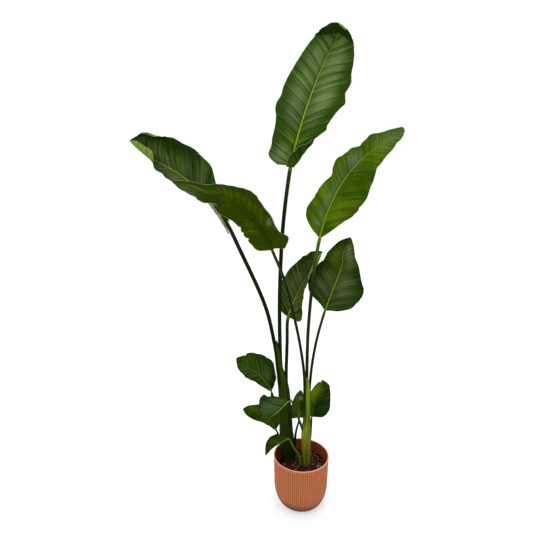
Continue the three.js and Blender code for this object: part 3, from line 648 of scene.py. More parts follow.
class Body:
    """Parts of one mesh: their points in millimetres, faces, material places and point values."""

    def __init__(self):
        self.points = []
        self.faces = []
        self.slots = []
        self.values = {}
        self.count = 0

    def add(self, points, faces, slot=0, **values):
        points = np.asarray(points, float).reshape(-1, 3)
        for name, value in values.items():
            filled = np.broadcast_to(np.asarray(value, float).ravel(), (len(points),))
            self.values.setdefault(name, []).append((self.count, filled))
        self.points.append(points)
        for group in faces:
            self.faces.extend((np.asarray(group) + self.count).tolist())
            self.slots.extend([slot] * len(group))
        self.count += len(points)

    def make(self, name, materials, replaces, rounded=True):
        """The finished object, which rides on the part and stands for the named nodes."""
        mesh = bpy.data.meshes.new(name)
        mesh.from_pydata((np.vstack(self.points) * MM).tolist(), [], self.faces)
        for material in materials:
            mesh.materials.append(material)
        mesh.polygons.foreach_set("material_index", self.slots)
        mesh.polygons.foreach_set("use_smooth", [rounded] * len(self.faces))
        for key, runs in self.values.items():
            table = np.zeros(self.count, np.float32)
            for start, value in runs:
                table[start:start + len(value)] = value
            mesh.attributes.new(key, "FLOAT", "POINT").data.foreach_set("value", table)
        mesh.update()
        piece = bpy.data.objects.new(name, mesh)
        bpy.context.scene.collection.objects.link(piece)
        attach(piece, "root")
        if replaces:
            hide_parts(*replaces)


def grid_faces(rows, columns, start=0, flip=False, wrap=False):
    """The quads of a grid of points in rows. With wrap, each row closes on itself."""
    i = np.arange(rows - 1)[:, None]
    j = np.arange(columns if wrap else columns - 1)[None, :]
    k = (j + 1) % columns
    near, far = i * columns + start, (i + 1) * columns + start
    quads = np.stack([near + j, near + k, far + k, far + j], -1).reshape(-1, 4)
    return quads[:, ::-1] if flip else quads


def round_angles(sides):
    return 2 * math.pi * np.arange(sides) / sides


def round_rings(radius, angle, height, x=0, y=0):
    """Rings of points round an upright line."""
    level = height + 0 * radius * angle
    return np.stack([x + radius * np.cos(angle), y + radius * np.sin(angle), level], -1)


def tube(body, rings, slot, **values):
    """A closed tube through rings of points, each anticlockwise seen from the far end."""
    count, sides = rings.shape[:2]
    ends = [list(range(sides))[::-1], list(range((count - 1) * sides, count * sides))]
    body.add(rings, [grid_faces(count, sides, wrap=True), ends[:1], ends[1:]], slot, **values)


def cross_sections(centre, side, up, across, lift):
    """Rings of points round a line, each point placed across the line and above it."""
    return centre[:, None] + side[:, None] * across[..., None] + up[:, None] * lift[..., None]


def normals(points):
    """The direction out of a grid of points, at each of them."""
    return unit(np.cross(np.gradient(points, axis=1), np.gradient(points, axis=0)))


class Leaf:
    """One leaf: its blade, and the rod that is its stalk and then its midrib."""

    # The way a tip bends forward, how much of the stalk is hidden in its fan, and the half-width from
    # which a blade waves in full.
    HOOD_WAY = (-0.14, -0.95, -0.28)
    HIDDEN_LENGTH = 230
    WAVING_WIDTH = 60

    def __init__(self, sizes, shared):
        self.sizes = {**LEAF_DEFAULTS, **sizes}
        self.shared = shared
        self.line = Route(sizes["route"])
        self.start = self.line.at_point(sizes["blade"])
        self.length = self.line.length - self.start
        # A phase of its own, so that no two leaves ripple alike.
        self.seed = 7.3 * sum(sizes["right"][:4]) % 6.28

    def place(self, s):
        """The place along the blade: 0 at its base and all along the stalk, and 1 at its tip."""
        return np.clip((s - self.start) / self.length, 0, 1)

    def axes(self, s):
        """The direction along the leaf, across it to the right, and out of its upper side."""
        along = self.line.along(s)
        side = unit(np.cross(along, unit(smooth(self.sizes["face"], self.place(s)))))
        return along, side, np.cross(side, along)

    def radius(self, s):
        """The radius of the rod, straight down the stalk and then thinning to the tip."""
        foot, neck, tip = self.sizes["radii"]
        on_stalk = foot + (neck - foot) * s / self.start
        return np.where(s < self.start, on_stalk, neck + (tip - neck) * self.place(s) ** 1.1)

    def width(self, t, half):
        """The half-width of the blade, with its nicks, and rounded off at the tip."""
        width = np.maximum(smooth(self.sizes["right" if half else "left"], t, WIDTH_STATIONS), 0.8)
        for side, place, depth, length in self.sizes["nicks"]:
            if (side > 0) == bool(half):
                width = width - depth * np.exp(-(((t - place) / length) ** 2))
        tip = np.clip((t - 0.985) / 0.015, 0, 1)
        return np.maximum(width * np.sqrt(1 - tip**2), 0.05)

    def section(self, t, half):
        """The width of each row's half, and how far across and up it has bent at each column."""
        out = np.linspace(0, 1, t.shape[1])
        fold, arch, curl, turn = (
            read(self.sizes[key][half], t) for key in ("fold", "arch", "curl", "turn")
        )
        roll_width = 0.13
        rolled = rise(out, turn - roll_width, turn + roll_width)
        angle = np.radians(fold + arch * out + curl * rolled)
        angle = (angle[:, 1:] + angle[:, :-1]) / 2
        width = self.width(t, half)
        step = width[:, :1] / (len(out) - 1)
        across, lift = (np.cumsum(part, axis=1) * step for part in (np.cos(angle), np.sin(angle)))
        return width, np.hstack([0 * step, across]), np.hstack([0 * step, lift])

    def ripple(self, vein, distance, u):
        """How far the blade bulges between its main side veins, and their count along the blade."""
        height, spacing = self.sizes["ripple"]
        # The spacing of the veins varies a little.
        count = vein / spacing + 0.16 * np.sin(vein / spacing / 0.61 + self.seed)
        count = count + 0.1 * np.sin(vein / spacing / 0.29 + 2 * self.seed)
        # Each pad between two veins rises fast and falls slowly, to a crease at the next vein.
        ramp = count % 1
        pad = np.minimum(1, ramp / 0.3) ** 0.7 * (1 - 0.75 * np.maximum(0, (ramp - 0.3) / 0.7) ** 1.3)
        pad = pad - 0.25 * np.exp(-((1 - ramp) / 0.1))
        minor = np.abs(np.sin(2.5 * math.pi * count)) ** 0.7
        strength = 0.75 + 0.25 * np.sin(vein / 47 + 3 * self.seed) * np.cos(vein / 83 + self.seed)
        reach = rise(distance, 3, 14) * (1 - 0.5 * rise(np.abs(u), 0.6, 1))
        return height * strength * reach * (pad - 0.55 + 0.1 * minor), count

    def hood(self, t, u, distance):
        """How far the tip bends forward past its crease, and where that is."""
        no_hood = (-self.length, 0, 0)
        depth, left_lean, right_lean = self.sizes.get("hood", no_hood)
        past = t * self.length + np.where(u >= 0, right_lean, left_lean) * distance
        past = np.maximum(0, past - (self.length - depth))
        # It bends gently over the first 8 mm past the crease.
        bend = 0.8 * past * np.minimum(1, past / 8)
        return bend[..., None] * np.array(self.HOOD_WAY), rise(past, 0, 6)

    @staticmethod
    def patch_values(patches, t, u):
        """The soft patches of a blade's painted light and shade (its tone) and of its painted sheen, at each
        point.
        """
        tone, sheen = 0 * t, 0 * t
        for place, across, length, width, more_tone, more_sheen in patches:
            share = np.exp(-(((t - place) / length) ** 2) - ((u - across) / width) ** 2)
            tone = tone + more_tone * share
            sheen = sheen + more_sheen * share
        return tone, sheen

    def grid(self):
        """The place along the blade and across it of each point, with closer rows towards both ends."""
        half_columns = self.shared.half_columns
        if max(self.sizes["right"]) <= self.WAVING_WIDTH:
            half_columns = half_columns * 2 // 3
        x = np.linspace(0, 1, round(self.length / self.shared.row_step) + 1)
        t = x - 0.6 * np.sin(2 * math.pi * x) / (2 * math.pi)
        return np.broadcast_arrays(t[:, None], np.linspace(-1, 1, 2 * half_columns + 1))

    def breadth(self, width):
        """The share of its waves that a row as wide as this has."""
        return np.minimum(1, width / self.WAVING_WIDTH)

    def surface(self, t, u, width, reach, lift):
        """The blade as one sheet with its long waves and lobes, before its veins shape it."""
        s = self.start + t * self.length
        along, side, up = self.axes(s)
        distance = width * np.abs(u)
        sign = np.where(u >= 0, 1, -1)
        wave = 2 * math.pi * self.sizes["waves"] * (t * self.length - 0.8 * distance) / self.length
        swell = self.sizes["swell"] * np.abs(u) ** 1.6 * self.breadth(width) * np.sin(wave + sign)
        left_lobe, right_lobe = self.sizes["lobes"]
        lobe_width, lobe_length = 45, 0.22
        back = np.minimum(1, distance / lobe_width) ** 2 * np.maximum(0, 1 - t / lobe_length) ** 2
        back = np.where(u >= 0, right_lobe, left_lobe) * back
        return (
            self.line.at(s)
            + side * (sign * reach)[..., None]
            + up * (lift + swell)[..., None]
            - along * back[..., None]
        )

    def veins(self, t, u, distance):
        """The place along the blade where the vein through each point leaves the midrib."""
        left_slant, right_slant = self.sizes.get("slant", [self.shared.vein_slant] * 2)
        vein = t * self.length - np.where(u >= 0, right_slant, left_slant) * distance
        # A vein leaves the midrib at a sharper angle and straightens over some 25 mm.
        return vein - 10 * (1 - np.exp(-distance / 25))

    def blade(self, body, slot, patches):
        """The blade as two faces with a thin edge between them."""
        t, u = self.grid()
        halves = [self.section(t[:, t.shape[1] // 2:], half) for half in (0, 1)]
        width, reach, lift = (np.hstack([left[:, :0:-1], right]) for left, right in zip(*halves))
        out = np.abs(u)
        distance = width * out
        vein = self.veins(t, u, distance)
        bulge, count = self.ripple(vein, distance, u)
        frill = 0.9 * out**6 * np.sin(vein / 4.1 + self.seed) * self.breadth(width)
        hood, shade = self.hood(t, u, distance)
        middle = self.surface(t, u, width, reach, lift) + hood
        middle = middle + normals(middle) * (bulge + frill)[..., None]
        thick = self.shared.thickness * (1 - 0.65 * rise(out, 0.8, 1)) / 2
        shell = normals(middle) * thick[..., None]
        tone, sheen = self.patch_values(patches, t, u)
        values = dict(
            vein_place=vein + 50 * self.seed,
            vein_count=count + round(5 * self.seed),
            rib_distance=distance,
            edge_distance=np.minimum(width - distance, (1 - t) * self.length),
            along=t,
            half=u,
            # The bent tip, where the blade's material paints shade.
            hood=shade,
            tone=tone,
            sheen=sheen,
        )
        values = {name: np.stack([value, value]) for name, value in values.items()}
        underside = np.stack([0 * t, 0 * t + 1])
        back = grid_faces(*t.shape, t.size, flip=True)
        faces = [grid_faces(*t.shape), back, self.edge_faces(*t.shape)]
        body.add(np.stack([middle + shell, middle - shell]), faces, slot, underside=underside, **values)

    @staticmethod
    def edge_faces(rows, columns):
        """The thin faces that join the two sides of the blade, all round its edge."""
        size = rows * columns
        index = np.arange(size).reshape(rows, columns)
        ring = np.concatenate([index[0], index[1:, -1], index[-1, -2::-1], index[-2:0:-1, 0]])
        after = np.roll(ring, -1)
        return np.stack([ring, ring + size, after + size, after], axis=1)

    def rod(self, body, slot):
        """The stalk, grooved along its upper side, and the midrib, sunk to the underside of the blade."""
        stalk_step, midrib_step = 7, 5
        first = max(self.line.at_point(self.sizes["join"]) - self.HIDDEN_LENGTH, 0)
        # The midrib ends just short of the tip, or at the crease of a tip that bends forward.
        last = self.line.length - self.sizes.get("hood", (2,))[0]
        midrib = np.linspace(self.start, last, round(self.length / midrib_step))
        s = np.concatenate([np.arange(first, self.start, stalk_step), midrib])
        _, side, up = self.axes(s)
        on_blade = rise(s, self.start - 25, self.start + 25)
        # The stalk swells a little just below the blade.
        radius = self.radius(s) * (1 + 0.12 * np.exp(-(((s - self.start + 6) / 14) ** 2)))
        sides = 20
        angle = round_angles(sides)
        from_top = np.abs((angle - math.pi / 2 + math.pi) % (2 * math.pi) - math.pi)
        groove = 0.3 * np.exp(-((from_top / 0.55) ** 2)) * rise(s, 60, 260)[:, None]
        section = radius[:, None] * (1 - groove * (1 - 0.6 * on_blade[:, None]))
        centre = self.line.at(s) - up * (0.55 * radius * on_blade)[:, None]
        centre = centre + self.hood((s - self.start) / self.length, 0 * s, 0 * s)[0]
        narrow = 1 - 0.35 * on_blade[:, None]
        across, lift = section * narrow * np.cos(angle), section * np.sin(angle)
        full = np.ones_like(section)
        tube(
            body,
            cross_sections(centre, side, up, across, lift),
            slot,
            stalk_place=full * (np.minimum(s, self.start) / self.start)[:, None],
            on_blade=full * on_blade[:, None],
            along=full * self.place(s)[:, None],
            lengthwise=full * s[:, None],
            underside=full * rise(-np.sin(angle), -0.2, 0.4)[None, :],
            turn=full * angle[None, :],
        )

    def scraps(self, body, stalk_slot, dry_slot):
        """Torn strips of dry sheath and small stubs that cling to the stalk below the blade."""
        rows, sides = 18, 12
        place = np.linspace(0, 1, rows)
        angle = round_angles(sides)
        for first, last, sign, half, dry in self.sizes["scraps"]:
            s = self.start + first + (last - first) * place
            _, side, up = self.axes(s)
            taper = np.sin(math.pi * np.clip(place, 0.05, 0.95)) ** 0.4
            away = self.radius(s) + 0.6 * half + 3 * (1 - place) ** 3
            centre = self.line.at(s) + side * (sign * away)[:, None] + up
            across = half * taper[:, None] * np.cos(angle)
            lift = 0.35 * half * taper[:, None] * np.sin(angle)
            rings = cross_sections(centre, side, up, across, lift)
            tube(body, rings, dry_slot if dry else stalk_slot, lengthwise=s[:, None] + 0 * angle)


def blade_material(name, looks, vein_step):
    """A leathery blade: creases at its main side veins, fine veins between them, a paler underside."""
    deep, bright, grey, under = (linear(looks[key]) for key in ("deep", "bright", "sheen", "under"))
    lines, streaks = looks["lines"], looks["streaks"]
    nodes = Nodes(name)
    vein, count, out, edge = nodes.attributes("vein_place", "vein_count", "rib_distance", "edge_distance")
    along, half, hood = nodes.attributes("along", "half", "hood")
    underside, tone, sheen = nodes.attributes("underside", "tone", "sheen")
    # Where a point lies between two main side veins, its distance from the nearer one, and how strong
    # that crease is there.
    ramp = count.math("FRACT")
    near = count.math("PINGPONG", 0.5) * vein_step
    strength = nodes.fibre(count.math("FLOOR") * 3.7, out / 38, underside, 1).between(0.3, 0.7)
    # Fine veins, broader streaks along them, and soft patches.
    fine = nodes.fibre(vein / 4.5, out / 90, underside, 3, 0.6) - 0.5
    streak = nodes.fibre(vein / 13, out / 150, underside, 2) - 0.5
    patch = nodes.grain(11, 3) - 0.5
    # The share of the bright colour, with painted light and shade that falls across each pad, and the
    # painted shade in the creases with painted highlights on their crests.
    inner = 1 - half.math("ABSOLUTE").between(0.45, 0.95) * 0.8
    pad = (ramp.between(0, 0.14) * (1 - ramp.between(0.3, 1) * 0.75) * inner - 0.4) * (lines * 0.7)
    share = tone + pad + streak * (1.8 * streaks) + fine * (1.2 + 0.8 * streaks)
    share = share + patch * 1.2 + looks["tone"]
    line = (1 - near.between(0.5, 2.4)) * out.between(5, 12) * (strength * 0.7 + 0.3)
    crest_highlight = ramp.between(0.04, 0.1) * (1 - ramp.between(0.12, 0.22)) * out.between(6, 20) * strength
    # Painted shade in the groove beside the midrib, stronger on the left half.
    left = 1 - half.between(-0.02, 0.02)
    groove = (1 - out.between(4, 11)) * (left * 0.8 + 0.2)
    # The two sides, with painted shade on the tip that bends forward, then the painted grey sheen, the thin
    # edges and the painted highlight on the pale rim of that tip.
    upper = nodes.mix(share.between(0, 1), deep, bright)
    upper = nodes.mix(line * lines, upper, dimmed(deep, 0.4))
    upper = nodes.mix(crest_highlight * lines * 0.5, upper, dimmed(grey, 0.8))
    upper = nodes.mix(groove * looks["groove"], upper, dimmed(deep, 0.5))
    upper = nodes.mix(hood * 0.95, upper, dimmed(deep, 0.6))
    lower = (share + looks["under_lift"]).between(0, 1)
    lower = nodes.mix(lower, dimmed(under, 0.28), under)
    lower = nodes.mix(line * (lines * 0.5), lower, dimmed(under, 0.3))
    # Painted sheen: a grey reflection painted in patches and streaks, none on the shaded tip.
    painted_sheen = sheen * ((streak + fine) * (2.8 * streaks) + pad * 0.8 + 0.6) * (1 - hood)
    rim = hood * half.between(0.2, 0.4) * (1 - edge.between(7, 11)) * along.between(0.955, 0.97)
    colour = nodes.mix(underside, upper, lower)
    colour = nodes.mix(painted_sheen, colour, grey)
    colour = nodes.mix((1 - edge.between(0.4, 3.5)) * (1 - underside) * 0.4, colour, dimmed(deep, 0.8))
    colour = nodes.mix((1 - edge.between(0.8, 3.5)) * underside * 0.6, colour, dimmed(grey, 1.2))
    colour = nodes.mix(rim * 0.85, colour, linear(CURLED_RIM_HIGHLIGHT))
    rough = 0.42 + patch * 0.3 + fine * 0.3 + underside * 0.2
    relief = fine * 0.8 + streak * 0.9 - line * 0.8
    return nodes.finish(colour, rough, BLADE_GLOSS, (relief, 0.0006, 0.6))


def stalk_material(name, looks):
    """The stalk from its dark foot to the blade, and the midrib, pale above and greener below."""
    rib, rib_under, foot, neck = (linear(looks[key]) for key in ("rib", "rib_under", "foot", "neck"))
    nodes = Nodes(name)
    place, on_blade, along = nodes.attributes("stalk_place", "on_blade", "along")
    underside, turn, lengthwise = nodes.attributes("underside", "turn", "lengthwise")
    streak = nodes.fibre(turn * 5, lengthwise / 40, 0, 3)
    fleck = nodes.grain(420, 2)
    stalk = nodes.mix(place.between(0.82, 1), foot, neck)
    stalk = nodes.mix((streak - 0.4) * 0.7, stalk, dimmed(neck, 1.7))
    stalk = nodes.mix(fleck.between(0.66, 0.74) * 0.15, stalk, dimmed(rib, 0.5))
    top = nodes.mix(along.between(0.55, 0.95) * 0.9, rib, dimmed(linear(looks["bright"]), 0.8))
    top = nodes.mix((streak - 0.4) * 0.9, top, dimmed(rib, 0.6))
    colour = nodes.mix(on_blade, stalk, nodes.mix(underside, top, rib_under))
    rough = 0.4 + (streak - 0.5) * 0.2
    return nodes.finish(colour, rough, 0.04, (streak + fleck * 0.3, 0.0004, 0.6))


def dry_material():
    """Papery dead sheath: grey with long brown streaks."""
    nodes = Nodes("dry_sheath")
    streak = nodes.grain(1, 3, stretch=(240, 240, 60))
    colour = nodes.mix(streak.between(0.35, 0.65), (0.1, 0.09, 0.06), (0.3, 0.3, 0.26))
    return nodes.finish(colour, 0.8, 0.1, (streak, 0.0006, 0.8))


class PLANT_OT_leaves(bpy.types.Operator):
    """Make every leaf, each one piece from its stalk to its tip"""

    bl_idname = "plant.leaves"
    bl_label = "Leaves"

    def execute(self, context):
        dry = dry_material()
        blade_slot, stalk_slot, dry_slot = range(3)
        for name, sizes in LEAVES.items():
            looks = {**LOOK_DEFAULTS, **LOOKS[name]}
            leaf = Leaf(sizes, context.scene.plant_leaves)
            body = Body()
            leaf.blade(body, blade_slot, looks["patches"])
            leaf.rod(body, stalk_slot)
            leaf.scraps(body, stalk_slot, dry_slot)
            blade = blade_material(name + "_blade", looks, sizes["ripple"][1])
            stalk = stalk_material(name + "_stalk", looks)
            body.make(name + "_fine", [blade, stalk, dry], [name])
        return {"FINISHED"}


def trunk_rings(line, sheaths, thickness):
    """A trunk's rings, and for each point its nearness to a sheath's edge, its layers and its turn."""
    row_step = 4.0
    sides = 132
    line = np.array(line, float)
    bottom, top = line[0, 2], line[-1, 2]
    heights = np.arange(bottom, top + 1, row_step)
    places, stations = ((z - bottom) / (top - bottom) for z in (heights, line[:, 2]))
    x, y, radius = (smooth(line[:, k], places, stations)[:, None] for k in (0, 1, 3))
    angle = round_angles(sides)
    from_front = np.degrees((angle + math.pi / 2 + math.pi) % (2 * math.pi) - math.pi)
    z = heights[:, None]
    layers = 0 * z * angle
    edge = 0 * layers
    for side, points in sheaths:
        levels, turns = zip(*points)
        present = 1 - rise(z, levels[-1] - row_step, levels[-1])
        inside = side * (from_front - np.interp(z, levels, turns))
        arc = np.radians(inside) * radius
        # A sheath starts at its front edge and ends behind the trunk.
        cover = np.where(inside > 150, 1 - rise(inside, 165, 172), rise(arc, 0, 1.6))
        layers = layers + cover * present
        near = np.exp(-((arc / 2.2) ** 2)) * present
        edge = np.maximum(edge, np.where(np.abs(inside) < 60, near, 0))
    oval = 1 + 0.05 * np.cos(2 * angle)
    # The sheaths lie on the trunk without making it wider, and fine ridges run up them.
    reach = radius * oval + thickness * (layers - layers.mean(axis=1, keepdims=True))
    reach = np.maximum(reach, radius * 0.6)
    reach = reach + 0.18 * np.sin(angle * 31 + z / 60) * np.sin(angle * 17 + 1)
    return round_rings(reach, angle, z, x, y), edge, layers, from_front


def trunk_material(name, outer, inner, brown, foot_height, foot_shade):
    """Wrapped sheaths: fibres along them, pale edges, and a dry brown foot."""
    nodes = Nodes(name)
    edge, layers, height, turn = nodes.attributes("sheath_edge", "sheath_layers", "height", "round")
    fibre = nodes.fibre(turn / 2.2, height / 90, 0, 3, 0.6) - 0.5
    streak = nodes.fibre(turn / 6, height / 200, 3, 3, 0.6) - 0.5
    patch = nodes.grain(22, 3, stretch=(1, 1, 0.4))
    share = (streak * 4 + fibre * 3 + 0.5).between(0, 1)
    outside = nodes.mix(share, dimmed(outer, 0.45), dimmed(outer, 1.6))
    inside = nodes.mix(share, dimmed(inner, 0.5), dimmed(inner, 1.15))
    dry = patch.between(0.42, 0.6) * (fibre + streak).between(-0.02, 0.12)
    foot = 1 - (height + streak * 22).between(foot_height, foot_height + 14)
    colour = nodes.mix(layers, inside, outside)
    colour = nodes.mix(edge * 0.75, colour, inner)
    colour = nodes.mix(dry * (1 - height.between(200, 420)) * 0.8, colour, brown)
    colour = nodes.mix((1 - height.between(180, 340)) * 0.42, colour, dimmed(brown, 0.8))
    # Painted shade on the lower trunk, as strong as foot_shade.
    colour = nodes.mix((1 - height.between(180, 480)) * foot_shade, colour, dimmed(outer, 0.5))
    colour = nodes.mix(foot * 0.85, colour, brown)
    return nodes.finish(colour, 0.48 + fibre * 0.3, 0.03, (fibre + streak * 0.5, 0.0006, 0.6))


class PLANT_OT_trunks(bpy.types.Operator):
    """Make the two trunks of wrapped leaf sheaths"""

    bl_idname = "plant.trunks"
    bl_label = "Trunks"

    def execute(self, context):
        settings = context.scene.plant_trunks
        dark, olive, light, pale, brown = (
            tuple(getattr(settings, name)) for name in ("dark", "olive", "light", "pale", "brown")
        )
        finishes = {
            "fan_left": (dark, olive, dimmed(brown, 0.4), 0.8, "trunk_dark"),
            "fan_right": (light, pale, brown, 0.0, "trunk_light"),
        }
        for name, trunk in TRUNKS.items():
            outer, inner, dry, foot_shade, slot = finishes[name]
            line = trunk["line"]
            foot_radius = line[0][3]
            rings, edge, layers, from_front = trunk_rings(line, trunk["sheaths"], settings.sheath)
            inner_share = np.clip(layers.max(axis=1, keepdims=True) - layers, 0, 1)
            body = Body()
            tube(
                body,
                rings,
                0,
                sheath_edge=edge,
                sheath_layers=1 - inner_share,
                height=rings[..., 2],
                round=np.radians(from_front) * foot_radius + 0 * layers,
            )
            material = trunk_material(name + "_sheaths", outer, inner, dry, SOIL_TOP + 3, foot_shade)
            body.make(name + "_fine", [material], [name])
        return {"FINISHED"}


def rounded_bottom(degrees):
    """The radius and height of the pot's outside, from 90 degrees at its foot to 0 at its shoulder."""
    angle = math.radians(degrees)
    radius = FOOT_RADIUS + (SHOULDER_RADIUS - FOOT_RADIUS) * math.cos(angle)
    return radius, SHOULDER_HEIGHT * (1 - math.sin(angle))


def inner_radius(height, gap=0):
    """The pot's inside above its shoulder, less a gap."""
    slope = (RIM_RADIUS - SHOULDER_RADIUS) / (POT_HEIGHT - SHOULDER_HEIGHT)
    return SHOULDER_RADIUS - WALL - gap + slope * (height - SHOULDER_HEIGHT)


def pot_outside(depth):
    """The pot's profile from the foot up to the lip: radius, height and how deep its grooves are."""
    foot_ring = 14
    rows = [(FOOT_RADIUS - foot_ring, 0, 0), (FOOT_RADIUS - 1, 0, 0)]
    for degrees in (90, 86, 82, 76, 70, 62, 54, 46, 38, 30, 22, 15, 8, 0):
        rows.append((*rounded_bottom(degrees), depth * float(rise(90 - degrees, 5, 16))))
    for part in (0.15, 0.3, 0.45, 0.6, 0.75, 0.88, 0.95, 0.98, 1):
        radius = SHOULDER_RADIUS + (RIM_RADIUS - LIP_STEP - SHOULDER_RADIUS) * part
        height = SHOULDER_HEIGHT + (POT_HEIGHT - LIP_HEIGHT - SHOULDER_HEIGHT) * part
        rows.append((radius, height, depth * float(1 - rise(part, 0.97, 1.01))))
    return rows


def pot_lip():
    """The smooth lip, from its step outside over the rounded rim to the inside."""
    return [(RIM_RADIUS - 0.35, POT_HEIGHT - LIP_HEIGHT + 0.2, 0),
            (RIM_RADIUS, POT_HEIGHT - LIP_HEIGHT + 0.8, 0),
            (RIM_RADIUS, POT_HEIGHT - 3, 0), (RIM_RADIUS - 0.1, POT_HEIGHT - 1.1, 0),
            (RIM_RADIUS - 0.6, POT_HEIGHT - 0.3, 0), (RIM_RADIUS - 1.4, POT_HEIGHT, 0),
            (RIM_RADIUS - WALL + 1.4, POT_HEIGHT, 0), (RIM_RADIUS - WALL + 0.5, POT_HEIGHT - 0.4, 0)]


def pot_inside():
    """The pot's profile from the rim down to the middle of the floor."""
    heights = (POT_HEIGHT - 1.2, POT_HEIGHT - 4, 185, 165, 150, 130, 110)
    rows = [(inner_radius(height), height, 0) for height in heights]
    for degrees in (0, 12, 24, 36, 48, 60, 72):
        radius, height = rounded_bottom(degrees)
        rows.append((radius - WALL, max(height, FLOOR), 0))
    return [*rows, (40, FLOOR, 0), (2, FLOOR, 0)]


def pot_material(settings):
    """Matt moulded plastic with a fine grain and a paler lip, with painted shade in its grooves, on its
    inside and towards its foot.
    """
    colour = np.array(settings.colour)
    nodes = Nodes("pot_plastic")
    groove, lip, inside, height = nodes.attributes("groove", "lip", "inside", "height")
    grain = nodes.grain(1400, 2)
    cloud = nodes.grain(14, 3)
    # Where painted shade darkens the pot towards its foot.
    foot = 1 - (height + (cloud - 0.5) * 6).between(10, 68)
    body = nodes.mix(cloud.between(0.3, 0.7), dimmed(colour, 0.93), tuple(colour))
    # Painted shade in the grooves between the ribs.
    body = nodes.mix(groove, body, dimmed(colour, 0.3))
    body = nodes.mix(lip, body, tuple(settings.lip_colour))
    # Painted shade on the inside of the pot.
    body = nodes.mix(inside, body, tuple(colour * (0.46, 0.34, 0.24)))
    body = nodes.mix(foot, body, tuple(colour * (0.13, 0.09, 0.04)))
    rough = 0.5 + (grain - 0.5) * 0.2 + (cloud - 0.5) * 0.1
    return nodes.finish(body, rough, 0.1, (grain, 0.0002, 0.4))


class PLANT_OT_pot(bpy.types.Operator):
    """Make the ribbed pot"""

    bl_idname = "plant.pot"
    bl_label = "Pot"

    def execute(self, context):
        settings = context.scene.plant_pot
        per_rib = 10
        outside, lip = pot_outside(settings.rib_relief), pot_lip()
        rows = [*outside, *lip, *pot_inside()]
        radius, height, relief = (np.array(column)[:, None] for column in zip(*rows))
        sides = settings.rib_count * per_rib
        hollow = 1 - np.abs(np.sin(math.pi * np.arange(sides) / per_rib)) ** 0.8
        rings = round_rings(radius - relief * hollow, round_angles(sides), height)
        row = np.arange(len(rows))[:, None] + np.zeros(sides)
        # The lip's colour starts above its step.
        lip_from = len(outside) + 3
        inside_from = len(outside) + len(lip)
        body = Body()
        tube(
            body,
            rings,
            0,
            # groove and inside mark where the pot's material paints shade.
            groove=hollow * (relief > 0.2),
            lip=(row >= lip_from) & (row <= inside_from),
            inside=rise(row, inside_from, inside_from + 1),
            height=rings[..., 2],
        )
        body.make("pot_fine", [pot_material(settings)], ["pot"])
        return {"FINISHED"}


def lumps(x, y, seed):
    """A height from 0 to 1 that rolls over the plane, from a sum of turned waves."""
    random = np.random.default_rng(seed)
    total = 0 * x
    waves = 9
    for _ in range(waves):
        turn, size, shift = (random.uniform(*span) for span in ((0, math.pi), (0.7, 1.6), (0, 6.28)))
        total = total + np.sin((x * math.cos(turn) + y * math.sin(turn)) / size + shift)
    return 0.5 + total / waves


def soil_height(x, y):
    """The top of the soil: low heaps with crumbs on them."""
    heap = lumps(x / 13, y / 13, 3) - 0.5
    crumb = lumps(x / 2.6, y / 2.6, 5) - 0.5
    speck = lumps(x / 1.1, y / 1.1, 9) - 0.5
    return SOIL_TOP + 2.6 * heap + 2.2 * crumb + 1.0 * speck


def soil_material(settings):
    """Damp dark potting mix."""
    colour = tuple(settings.soil_colour)
    nodes = Nodes("potting_mix")
    crumb = nodes.grain(320, 4, 0.65)
    clod = nodes.grain(70, 3)
    fleck = nodes.grain(700, 1)
    body = nodes.mix(crumb.between(0.3, 0.75), dimmed(colour, 0.35), dimmed(colour, 1.8))
    body = nodes.mix(clod.between(0.5, 0.75) * 0.5, body, dimmed(colour, 2.6))
    body = nodes.mix(fleck.between(0.64, 0.72) * 0.6, body, (0.2, 0.1, 0.065))
    return nodes.finish(body, 0.75 + (crumb - 0.5) * 0.3, 0.05, (crumb + clod, 0.0015, 0.9))


def grit_material():
    """Crumbs on the soil: most of bark, and some of pale grit. Each crumb has its own number."""
    nodes = Nodes("grit")
    [kind] = nodes.attributes("kind")
    grain = nodes.grain(900, 2)
    bark = nodes.mix(grain, (0.009, 0.003, 0.0015), (0.036, 0.013, 0.007))
    stone = nodes.mix(grain, (0.2, 0.15, 0.12), (0.42, 0.34, 0.29))
    colour = nodes.mix(kind.between(0.64, 0.66), bark, stone)
    return nodes.finish(colour, 0.85, 0.05)


def crumb_shape():
    """The corners and faces of a ball of 20 triangles."""
    g = (1 + 5**0.5) / 2
    points = [(-1, g, 0), (1, g, 0), (-1, -g, 0), (1, -g, 0), (0, -1, g), (0, 1, g),
              (0, -1, -g), (0, 1, -g), (g, 0, -1), (g, 0, 1), (-g, 0, -1), (-g, 0, 1)]
    faces = [(0, 11, 5), (0, 5, 1), (0, 1, 7), (0, 7, 10), (0, 10, 11), (1, 5, 9), (5, 11, 4),
             (11, 10, 2), (10, 7, 6), (7, 1, 8), (3, 9, 4), (3, 4, 2), (3, 2, 6), (3, 6, 8),
             (3, 8, 9), (4, 9, 5), (2, 4, 11), (6, 2, 10), (8, 6, 7), (9, 8, 1)]
    return unit(np.array(points)), np.array(faces)


